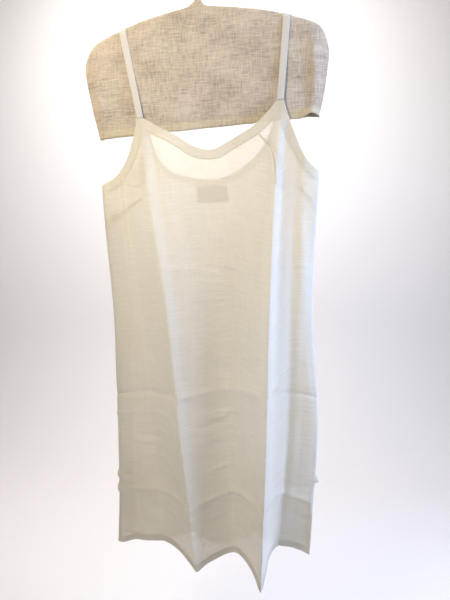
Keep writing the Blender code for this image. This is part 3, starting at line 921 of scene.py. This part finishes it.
def add_lump(bm, middle, way, half_long, half_thick):
    """One ball stretched along `way`."""
    turn = way.to_track_quat("X", "Z").to_matrix().to_4x4()
    size = Matrix.Diagonal((half_long, half_thick, half_thick, 1.0))
    bmesh.ops.create_icosphere(
        bm, subdivisions=1, radius=1.0, matrix=Matrix.Translation(middle) @ turn @ size
    )


def stitch_row(name, routes, look=thread, spacing=STITCH, thick=STITCH_THICK):
    """Rows of stitches along routes, as one piece."""
    bm = bmesh.new()
    for route in routes:
        places = evenly(route, spacing)
        for start, end in zip(places, places[1:]):
            add_lump(bm, (start + end) / 2, end - start, spacing * STITCH_SHARE, thick)
    return piece_from(bm, name, look)


def traced(place):
    """A route along the middle of a band."""
    return [place(k / TRACE_STEPS, 0.5) for k in range(TRACE_STEPS + 1)]


# %% [markdown]
# ## The two panels
# Each panel is one cloth from side seam to side seam. Fold lines fall on the grid's own lines, and
# the grid is finer beside the ridges, because a fold is only as crisp as the points that make it.
# The columns run up to the cut edge, so the neckline and the armholes are clean lines.

# %% Front and back panels
SPAN_SQUARES = (18, 25, 21, 25, 27, 16)
PANEL_ACROSS = sum(SPAN_SQUARES)
RIDGE_CROWDING = 1.35
PANEL_UP = 276


def column_of(u):
    """The column at a share of the cloth's width: fold lines fall on the grid, close-set at ridges."""
    square = u * PANEL_ACROSS
    for k, squares in enumerate(SPAN_SQUARES):
        if square <= squares or k == len(SPAN_SQUARES) - 1:
            part = min(square / squares, 1.0)
            if k in (1, 3):
                part = 1 - (1 - part) ** RIDGE_CROWDING
            elif k in (2, 4):
                part = part**RIDGE_CROWDING
            return k + part
        square -= squares
    return float(LAST_COLUMN)


def panel_cloth(name, panel):
    tops = {}

    def cut_place(u, v):
        column = column_of(u)
        if column not in tops:
            tops[column] = panel.top(column)
        return column, HEM + (tops[column] - HEM) * v

    def place(u, v):
        return panel.point(*cut_place(u, v))

    def relief(u, v):
        column, z = cut_place(u, v)
        return panel.relief(column, panel.flat(column, z)[0], z) * -panel.side

    made = cloth(name, PANEL_ACROSS, PANEL_UP, place, mull, level=True, relief=relief)
    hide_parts(name.replace("dress_", "") + "_panel")
    return made


dress_front = panel_cloth("dress_front", front)
dress_back = panel_cloth("dress_back", back)
print("front panel, flat width, length and area:", flat_size(dress_front))
print("back panel:", flat_size(dress_back))

# %% [markdown]
# ## Facings
# A facing is a narrow band of the same cotton sewn inside an edge, so that the edge keeps its
# shape. Through the sheer front each one shows as a paler, denser band. It follows the panel's
# own points, a hair's breadth inside them.

# %% Neck facings
FACING_WIDTH = 0.018
BACK_FACING_WIDTH = 0.012
NECK_WIDTHS = (FACING_WIDTH, BACK_FACING_WIDTH)
FACING_DEPTH = 0.0011
STEEPEST_DROP = 2.2


def neck_band(panel, width, low_share, high_share, depth):
    """A place function for a band under the neckline; the shares are of its width, from its top."""
    low = panel.column_at(LEFT_FOOT_X[1], LEFT_FOOT_Z)
    high = panel.column_at(RIGHT_FOOT_X[0], RIGHT_FOOT_Z)
    known = {}

    def edge(u):
        if u not in known:
            column = low + (high - low) * u
            before, after = max(u - 0.01, 0.0), min(u + 0.01, 1.0)
            ends = [low + (high - low) * share for share in (before, after)]
            tops = [panel.top(end) for end in ends]
            xs = [panel.flat(end, top)[0] for end, top in zip(ends, tops)]
            fall = (tops[1] - tops[0]) / (xs[1] - xs[0])
            known[u] = (column, panel.top(column), width * min(sqrt(1 + fall * fall), STEEPEST_DROP))
        return known[u]

    def place(u, v):
        column, top, drop = edge(u)
        share = low_share + (high_share - low_share) * v
        return panel.surface(column, top - SEAM_GAP - drop * share, depth)

    return place


STITCH_LINE = 0.90
EDGE_LINE = 0.07
SKIN = 0.0004
for (panel, name), width, up in zip(PANELS, NECK_WIDTHS, (8, 6)):
    band = neck_band(panel, width, 1.0, 0.0, -FACING_DEPTH)
    facing = cloth(f"{name}_facing", 110, up, band, folded_mull)
    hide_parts(f"{name}_neck_facing")
    print(facing.name, flat_size(facing))
for (panel, name), width in zip(PANELS, NECK_WIDTHS):
    rows = [traced(neck_band(panel, width, share, share, SKIN)) for share in (STITCH_LINE, EDGE_LINE)]
    stitch_row(f"{name}_neck_stitches", rows, thread_with_painted_shade)

# %% Armhole facings
RIDGE_CLEARANCE = 0.08
FACING_TURN = radians(66)
FACING_TURN_CURVE = 1.5
ARMHOLE_REACH = 0.96


def armhole_spot(panel, left, risen, share):
    """Column and height in the band: `risen` from side seam to strap foot, `share` of its width."""
    foot = LEFT_FOOT_X[0] if left else RIGHT_FOOT_X[1]
    ridge = 2.0 - RIDGE_CLEARANCE if left else 4.0 + RIDGE_CLEARANCE
    at_foot = panel.column_at(foot, LEFT_FOOT_Z if left else RIGHT_FOOT_Z)
    seam = 0.0 if left else float(LAST_COLUMN)
    column = seam + (at_foot - seam) * risen
    top = panel.top(column) - SEAM_GAP
    turn = risen**FACING_TURN_CURVE * FACING_TURN
    inward = FACING_WIDTH * sin(turn) * (1 if left else -1)
    z = top - share * FACING_WIDTH * cos(turn)
    moved = column
    if risen > 0:
        moved = panel.column_at(panel.flat(column, top)[0] + share * inward, z)
        moved = column + (moved - column) * min(risen * 4, 1.0)
    return (min(moved, ridge) if left else max(moved, ridge)), z


def armhole_band(left, depth, low_share=1.0, high_share=0.0):
    """A place function from the front strap foot, under the arm, to the back one."""

    def place(u, v):
        share = low_share + (high_share - low_share) * v
        panel, risen = (front, 1 - 2 * u) if u < 0.5 else (back, 2 * u - 1)
        column, z = armhole_spot(panel, left, risen * ARMHOLE_REACH, share)
        spot = panel.surface(column, z, depth)
        if abs(u - 0.5) < 1e-6:
            spot.y = 0.0
        return spot

    return place


for left, side_name in SIDES:
    armhole = cloth(f"{side_name}_armhole_band", 96, 7, armhole_band(left, -FACING_DEPTH), folded_mull)
    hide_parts(f"{side_name}_armhole_facing")
    rows = [traced(armhole_band(left, SKIN, share, share)) for share in (STITCH_LINE, EDGE_LINE)]
    stitch_row(f"{side_name}_armhole_stitches", rows, thread_with_painted_shade)
    print(armhole.name, flat_size(armhole))

# %% [markdown]
# ## Facing ends at the back
# Under each strap the back's neck facing and armhole facing are cut as one, so a wider end of it
# reaches down the back. Its overlocked edge shows through the front as a brown line of painted shadow.

# %% Facing ends
FACING_ENDS = (
    # left or right, its inner edge and the side towards the armhole as (x, height) rows from the top
    ("left", ((-0.104, -0.296), (-0.1085, -0.330), (-0.114, -0.362), (-0.121, -0.392)), -0.0125),
    ("right", ((0.116, -0.312), (0.131, -0.340), (0.137, -0.376), (0.139, -0.408)), 0.0125),
)
END_DEPTH = 0.0020


def facing_end_place(edge, reach):
    rows = sorted((z, x) for x, z in edge)

    def place(u, v):
        z = rows[0][0] + (rows[-1][0] - rows[0][0]) * v
        x = along(rows, z) + reach * u * smooth(1.2 - v * 0.9)
        return back.at(x, z, -END_DEPTH)

    return place


for side_name, edge, reach in FACING_ENDS:
    place = facing_end_place(edge, reach)
    cloth(f"{side_name}_facing_end", 5, 24, place, folded_mull)
    rows = [[place(0.0, k / 40) for k in range(41)], [place(k / 10, 0.0) for k in range(11)]]
    stitch_row(f"{side_name}_overlock", rows, painted_shadow_thread, spacing=0.0018, thick=0.0007)

# %% [markdown]
# ## The label
# A bare woven label hangs inside the back neckline. It carries no words. Through the front it
# reads as a small beige patch.

# %% Label
LABEL_SIZE = (0.058, 0.030)
LABEL_X = 0.012
LABEL_DEPTH = 0.0013
LABEL_CURL = 0.0012


def label_place(u, v):
    wide, tall = LABEL_SIZE
    top = back.outline(LABEL_X) - BACK_FACING_WIDTH - 2 * SEAM_GAP
    x = LABEL_X + wide * (u - 0.5)
    z = top - tall * (1 - v)
    curl = LABEL_CURL * (1 - v) * (2 * u - 1) ** 2
    return back.at(x, z, -LABEL_DEPTH - curl)


label = cloth("bare_label", 24, 12, label_place, label_cloth, wall=0.0005)
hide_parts("neck_label")
print("label:", flat_size(label))

# %% [markdown]
# ## Hem, slits, side seams and darts
# The hem is turned up inside and stitched, and the two slits have their edges turned the same
# way. Inside each side seam lie its two narrow seam allowances. At the bust, each side has a
# dart: a wedge of cloth taken in, folded flat inside. All of these are the same sheer cotton,
# and they show because two layers are denser than one.

# %% Turned edges
HEM_TURN = 0.011
SLIT_TURN = 0.008
SEAM_ALLOWANCE = 0.007
TURN_DEPTH = 0.0009
HEM_END = 0.03
HEM_LIFT = 0.0003
BAND_END = 0.012
BAND_GAP = 0.001
NEXT_TO_SEAM = 0.004


def hem_place(panel):
    def place(u, v):
        column = HEM_END + (LAST_COLUMN - 2 * HEM_END) * u
        return panel.surface(column, HEM + HEM_LIFT + HEM_TURN * v, -TURN_DEPTH)

    return place


def edge_band(panel, left, low, high, width, depth):
    """A place function for a band beside a side edge, from height low to high."""

    def place(u, v):
        z = low + (high - low) * v
        edge = NEXT_TO_SEAM if left else LAST_COLUMN - NEXT_TO_SEAM
        x_edge = panel.flat(edge, z)[0]
        inward = width * u * (1 if left else -1)
        column = panel.column_at(x_edge + inward, z) if u > 0 else edge
        return panel.surface(column, z, depth)

    return place


turnings = {"front": [], "back": []}
for panel, name in PANELS:
    turnings[name].append(cloth(f"{name}_hem_turning", 160, 4, hem_place(panel), folded_mull))
    for left, side_name in SIDES:
        slit = edge_band(panel, left, HEM + BAND_END, SLIT_TOP - BAND_GAP, SLIT_TURN, -TURN_DEPTH)
        seam = edge_band(
            panel, left, SLIT_TOP + 2 * BAND_GAP, UNDERARM - BAND_END, SEAM_ALLOWANCE, -TURN_DEPTH
        )
        turnings[name].append(cloth(f"{name}_{side_name}_slit_turning", 4, 36, slit, folded_mull))
        turnings[name].append(cloth(f"{name}_{side_name}_seam_allowance", 3, 110, seam, folded_mull))
HEM_LINE = HEM + HEM_TURN * STITCH_LINE
HEM_STITCHES = 160
TACK_LUMPS = 7
TACK_SPACING = 0.0009
TACK_HALF, TACK_THICK = 0.0034, 0.0006
for panel, name in PANELS:
    steps = [2 * HEM_END + (LAST_COLUMN - 4 * HEM_END) * k / HEM_STITCHES for k in range(HEM_STITCHES + 1)]
    rows = [[panel.surface(column, HEM_LINE, SKIN) for column in steps]]
    for left, _ in SIDES:
        low, high = HEM + HEM_TURN, SLIT_TOP - 4 * BAND_GAP
        place = edge_band(panel, left, low, high, SLIT_TURN * STITCH_LINE, SKIN)
        rows.append([place(1.0, k / 30) for k in range(31)])
    stitch_row(f"{name}_hem_stitches", rows, thread_with_painted_shade)
for left, side_name in SIDES:
    bm = bmesh.new()
    edge = front.surface(0.0 if left else float(LAST_COLUMN), SLIT_TOP, 0.0)
    for k in range(TACK_LUMPS):
        spot = edge + Vector((0.0, 0.0, TACK_SPACING * (k - TACK_LUMPS / 2)))
        add_lump(bm, spot, Vector((1.0, 0.0, 0.12)), TACK_HALF, TACK_THICK)
    piece_from(bm, f"{side_name}_bar_tack", thread)
print("turned edges:", sum(len(pieces) for pieces in turnings.values()))

# %% Bust darts
DARTS = (
    # name, point of the dart, its mouth at the side seam as (x, z), width at the mouth
    ("left_bust_dart", (-0.110, -0.420), (-0.186, -0.452), 0.020),
    ("right_bust_dart", (0.168, -0.404), (0.202, -0.440), 0.020),
)


def dart_place(tip, mouth, width):
    def place(u, v):
        x = mouth[0] + (tip[0] - mouth[0]) * u
        z = mouth[1] + (tip[1] - mouth[1]) * u
        drop = (width * (1 - u) + 0.0015) * (1 - v)
        return front.at(x, z - drop, -TURN_DEPTH)

    return place


DART_SKIN = 0.0007


def dart_route(tip, mouth):
    """The dart's seam on the outside, from the side seam to its point."""
    route = []
    for k in range(41):
        x = mouth[0] + (tip[0] - mouth[0]) * k / 40
        z = mouth[1] + (tip[1] - mouth[1]) * k / 40
        route.append(front.at(x, z, DART_SKIN))
    return route


for name, tip, mouth, width in DARTS:
    turnings["front"].append(cloth(name, 28, 5, dart_place(tip, mouth, width), folded_mull))
    stitch_row(f"{name}_seam", [dart_route(tip, mouth)])
print("darts:", ", ".join(row[0] for row in DARTS))

# %% [markdown]
# ## The tuck under the right strap
# Below the right strap the front falls into a narrow tuck. Its free edge stands a little off the
# cloth, and a row of thread along it, dark brown as painted shadow, draws a thin line down towards the bust.

# %% Tuck
TUCK_LINE = ((0.103, -0.316), (0.116, -0.330), (0.1255, -0.346), (0.131, -0.372), (0.133, -0.408))
TUCK_WIDTH = 0.005
TUCK_RISE = 0.0016
TUCK_ROWS = sorted((z, x) for x, z in TUCK_LINE)


def tuck_place(u, v):
    z = TUCK_ROWS[0][0] + (TUCK_ROWS[-1][0] - TUCK_ROWS[0][0]) * v
    x = along(TUCK_ROWS, z) - TUCK_WIDTH * sin(pi * v) ** 0.5 * (1 - u)
    return front.at(x, z, SKIN + TUCK_RISE * u * sin(pi * v))


turnings["front"].append(cloth("right_strap_tuck", 4, 36, tuck_place, folded_mull))
tuck_edge = [tuck_place(1.0, k / 60) + Vector((0.0004, 0.0, 0.0)) for k in range(61)]
stitch_row("tuck_edge_thread", [tuck_edge], painted_shadow_thread, spacing=0.0016, thick=0.0004)
print("tuck:", flat_size(turnings["front"][-1]))

# %% [markdown]
# ## Straps
# Each strap is a flat woven tape, 12.5 mm wide. It rises from the front, lies over the cover's
# shoulder and falls to the back, and a short end of it is caught between panel and facing. The
# cover's rings come first, because the straps lie on them.

# %% Cover rings
COVER_RINGS = metres((
    # height, centre, half width, half depth
    (-66, 0, 5.2, 5.2),
    (-74, 0, 6, 5.6),
    (-81, -2, 13, 6.5),
    (-86, -1, 27, 8),
    (-90.5, 3, 60, 9.8),
    (-95.5, 6, 90, 11),
    (-101, 8, 116, 11.8),
    (-108, 10, 140, 12.3),
    (-117, 11, 166, 12.5),
    (-125, 11, 188, 12.5),
    (-134, 10, 204, 12.5),
    (-146, 8, 213, 12.5),
    (-163, 7, 219.5, 12.2),
    (-182, 7, 222.5, 11.8),
    (-215, 7, 218, 10.8),
    (-255, 8, 211, 10),
    (-298, 9, 201, 9.5),
))
RING_TABLES = [[(row[0], row[k]) for row in sorted(COVER_RINGS)] for k in (1, 2, 3)]
LOWER_EDGE_RISE = 0.008
RISE_START = -0.215
SHOULDER_TOP = -0.081
SHOULDER_LOW = -0.163


def cover_ring(z):
    """Centre, half width and half depth of the cover at a height."""
    found = []
    for table in RING_TABLES:
        places = [place for place, _ in table]
        k = min(max(bisect_right(places, z) - 1, 0), len(table) - 2)
        (z0, value0), (z1, value1) = table[k], table[k + 1]
        t = min(max((z - z0) / (z1 - z0), 0.0), 1.0)
        found.append(value0 + (value1 - value0) * t)
    return found


def cover_depth(x, z):
    """Half depth of the cover at a place on its front, zero outside it."""
    centre, half_width, half_depth = cover_ring(z)
    share = abs(x - centre) / half_width
    return half_depth * sqrt(1 - share**4) if share < 1 else 0.0


def cover_top(x):
    """Height of the cover's top line above an X, found by halving."""
    high, low = SHOULDER_TOP, SHOULDER_LOW
    for _ in range(HALVINGS):
        middle = (low + high) / 2
        if cover_depth(x, middle) > 0:
            low = middle
        else:
            high = middle
    return (low + high) / 2


# %% Straps
STRAP_WIDTH = 0.0125
STRAP_WALL = 0.0010
STRAP_LIFT = 0.00105
STRAP_LEAVES = 0.062
STRAP_DEPTH = 0.0135
STRAP_LANES = 8
STRAP_X = ((-0.1395, LEFT_FOOT_X, LEFT_FOOT_Z), (0.1580, RIGHT_FOOT_X, RIGHT_FOOT_Z))
TAB = 0.010
TAB_DEPTH = 0.00055
TAB_GAP = 0.0006
WRAP_SHARE = 0.45
LEAN_HURRY = 1.6
STRAP_STITCH = 0.0032
TAPE_STEPS = 120


def wrap_spot(top_x, foot, foot_z, lane, fallen, side):
    """A place on the cover under the tape, `fallen` below its top line."""
    top = cover_top(top_x + lane * STRAP_WIDTH)
    slant = (sum(foot) / 2 - top_x) * fallen / (top - foot_z)
    x = top_x + lane * STRAP_WIDTH + slant
    return Vector((x, side * cover_depth(x, top - fallen), top - fallen))


def strap_spot(top_x, foot, foot_z, lane, way):
    """The tape's middle: way -1 at the front foot, 0 on top of the cover, 1 at the back foot."""
    side = -1 if way < 0 else 1
    share = abs(way)
    if share <= WRAP_SHARE:
        step = share / WRAP_SHARE
        fallen = STRAP_LEAVES * (1 - cos(pi / 2 * step))
        spot = wrap_spot(top_x, foot, foot_z, lane, fallen, side)
        lean = pi / 2 * min(step * LEAN_HURRY, 1.0)
        return spot + Vector((0.0, side * sin(lean), cos(lean))) * STRAP_LIFT
    start = strap_spot(top_x, foot, foot_z, lane, side * WRAP_SHARE)
    x = foot[0] + (foot[1] - foot[0]) * (lane + 0.5)
    end = Vector((x, side * STRAP_DEPTH, foot_z + SEAM_GAP))
    return start.lerp(end, (share - WRAP_SHARE) / (1 - WRAP_SHARE))


def strap_place(top_x, foot, foot_z):
    def place(u, v):
        return strap_spot(top_x, foot, foot_z, u - 0.5, 2 * v - 1)

    return place


def end_place(panel, foot, foot_z):
    """The short end of the tape, caught between the panel and its facing."""

    def place(u, v):
        x = foot[0] + (foot[1] - foot[0]) * u
        z = foot_z - TAB_GAP - TAB * (1 - v)
        return panel.at(x, z, -TAB_DEPTH)

    return place


for side_name, (top_x, foot, foot_z) in zip(("left", "right"), STRAP_X):
    strap = cloth(
        f"{side_name}_tape", STRAP_LANES, TAPE_STEPS, strap_place(top_x, foot, foot_z), tape,
        wall=STRAP_WALL,
    )
    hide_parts(f"{side_name}_strap")
    place = strap_place(top_x, foot, foot_z)
    skin = []
    for k in range(3, TAPE_STEPS - 2):
        across = place(1.0, k / TAPE_STEPS) - place(0.0, k / TAPE_STEPS)
        upward = place(0.5, (k + 1) / TAPE_STEPS) - place(0.5, (k - 1) / TAPE_STEPS)
        skin.append(place(0.5, k / TAPE_STEPS) + across.cross(upward).normalized() * STRAP_WALL * 0.55)
    stitch_row(f"{side_name}_strap_stitches", [skin], spacing=STRAP_STITCH, thick=0.00028)
    [
        cloth(f"{side_name}_{name}_strap_end", 6, 6, end_place(panel, foot, foot_z), tape, 0.0005)
        for panel, name in PANELS
    ]
    print(strap.name, flat_size(strap))

# %% [markdown]
# ## The linen cover
# The cover is a bag with rounded shoulders and an open lower edge, pulled over the bar, with a
# small collar round the wire. It is unpressed linen, so it has soft level ripples at the right,
# a short seam under the collar, and a looser, paler edge at the bottom that frays.

# %% Cover
COVER_WALL = 0.0012
COVER_RIPPLES = metres((
    # route of (x, height) points, depth, half width
    (((30, -128), (90, -124), (150, -130)), 1.1, 6),
    (((50, -146), (120, -142), (190, -152)), -1.2, 7),
    (((80, -168), (150, -164), (205, -178)), 1.1, 6),
    (((-130, -152), (-60, -146), (0, -152)), 1, 7),
    (((-160, -178), (-90, -170)), -1, 7),
    (((20, -100), (20, -116)), -1.6, 8),
    (((-2, -86), (0, -132)), 1, 2.4),
    (((-60, -190), (20, -196), (80, -190)), 0.9, 10),
    (((-192, -180), (-186, -240), (-178, -300)), 3, 8),
    (((-200, -190), (-196, -240), (-188, -300)), -2.6, 8),
    (((199, -140), (204, -200), (201, -280)), 2.8, 8.5),
    (((176, -150), (183, -210), (184, -285)), -2.2, 12),
    (((-70, -122), (-30, -112), (0, -110)), -1.2, 5),
    (((30, -108), (80, -112), (124, -118)), -1.3, 5),
    (((160, -196), (196, -180), (215, -172)), 1.8, 5),
    (((-10, -166), (90, -158), (170, -166)), -1.2, 6),
    (((30, -230), (90, -226), (150, -232)), 0.7, 8),
))
COVER_AROUND = 240
COVER_UP = 96
RING_CROWDING = 1.5
CURL_PLACE = (0.196, -0.296)
CURL_REACH = 0.020
CURL_OUT = 0.0075
CURL_UP = 0.0070
MOUTH_SHUT = 0.36
BACK_SHORTER = 0.0030
GATHERS = 11
GATHER_DEPTH = 0.09


def cover_place(u, v):
    """Round the ring by u, up from the open lower edge to the collar by v."""
    low, high = COVER_RINGS[-1][0], COVER_RINGS[0][0]
    z = low + (high - low) * (1 - (1 - v) ** RING_CROWDING)
    centre, half_width, half_depth = cover_ring(z)
    turn = 2 * pi * u
    facing = cos(turn)
    across = half_width * sin(turn)
    x = centre + across
    y = -half_depth * facing * sqrt(1 + sin(turn) ** 2)
    share = max((RISE_START - z) / (RISE_START - low), 0.0)
    rise = LOWER_EDGE_RISE * share * across / half_width
    side = 1 if facing > 0 else -1
    y *= 1 - MOUTH_SHUT * share * share
    rise += BACK_SHORTER * share * share * (1 - side) / 2 * smooth(abs(facing) * 2)
    calm = smooth(abs(facing) * 3) * smooth((SHOULDER_TOP - z) / 0.02)
    ripple = wrinkle_relief(COVER_RIPPLES, x if side > 0 else -x, z)
    ripple += 0.0006 * noise.noise(Vector((x * 28, z * 40, side)))
    y -= side * ripple * calm
    if side > 0:
        near = hypot(x - CURL_PLACE[0], (z - CURL_PLACE[1]) * 0.8) / CURL_REACH
        lifted = smooth(1 - near)
        y -= CURL_OUT * lifted
        rise += CURL_UP * lifted
    collar = smooth((z - SHOULDER_TOP + 0.002) / 0.006)
    pleat = 1 + GATHER_DEPTH * collar * sin(GATHERS * turn)
    wave = 0.0009 * noise.noise(Vector((x * 60, side * 3.0, 0.0))) * smooth((low + 0.01 - z) / 0.01)
    return Vector((centre + (x - centre) * pleat, y * pleat, z + rise + wave))


cover = cloth("linen_cover", COVER_AROUND, COVER_UP, cover_place, linen, COVER_WALL, -1.0)
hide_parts("hanger_cover")

# %% The cover's straight weave and its paler edge
EDGE_HEIGHT = 0.015
BACK_SHIFT = 1.0
cover.data.materials.append(linen_edge)
weave_places = cover.data.uv_layers["Cloth"].data
edge_faces = 0
for polygon in cover.data.polygons:
    corners = [cover.data.vertices[cover.data.loops[k].vertex_index].co for k in polygon.loop_indices]
    middle = sum(corners, Vector()) / len(corners)
    behind = BACK_SHIFT if middle.y > 0 else 0.0
    for k, corner in zip(polygon.loop_indices, corners):
        weave_places[k].uv = (corner.x + behind, corner.z)
    slope = LOWER_EDGE_RISE * middle.x / COVER_RINGS[-1][2]
    if middle.z - slope < COVER_RINGS[-1][0] + EDGE_HEIGHT:
        polygon.material_index = 1
        edge_faces += 1
print("faces in the paler edge:", edge_faces)

# %% The cover's edge seam and its frays
FRAYS = 64
FRAY_THICK = 0.00022
EDGE_SEAM_STEPS = 400


def edge_seam_route():
    """Just outside the cover, along the top of its paler edge."""
    share = EDGE_HEIGHT / (COVER_RINGS[0][0] - COVER_RINGS[-1][0])
    v = 1 - (1 - share) ** (1 / RING_CROWDING)
    route = []
    for k in range(EDGE_SEAM_STEPS + 1):
        u = k / EDGE_SEAM_STEPS
        spot = cover_place(u, v)
        route.append(spot + Vector((sin(2 * pi * u), -cos(2 * pi * u), 0.0)) * SKIN)
    return route


stitch_row("cover_edge_stitches", [edge_seam_route()], linen_thread, spacing=0.0034, thick=0.0004)
chance = random.Random(41)
bm = bmesh.new()
for k in range(FRAYS):
    spot = cover_place(chance.random(), 0.0) + Vector((0.0, 0.0, 0.0004))
    lean = Vector((chance.uniform(-0.9, 0.9), chance.uniform(-0.4, 0.4), -1.0)).normalized()
    for _ in range(chance.choice((1, 2, 2, 3))):
        half = chance.uniform(0.0008, 0.0019)
        add_lump(bm, spot + lean * half, lean, half * 1.1, FRAY_THICK)
        spot = spot + lean * half * 2
        lean = (lean + Vector((chance.uniform(-0.8, 0.8), chance.uniform(-0.3, 0.3), 0.1))).normalized()
piece_from(bm, "cover_frays", linen_thread)
print("frays:", FRAYS)

# %% Wood and wire
frame["nodes"]["hanger_bar"].data.materials.clear()
frame["nodes"]["hanger_bar"].data.materials.append(beech)
frame["nodes"]["hanger_hook"].data.materials.clear()
frame["nodes"]["hanger_hook"].data.materials.append(steel)
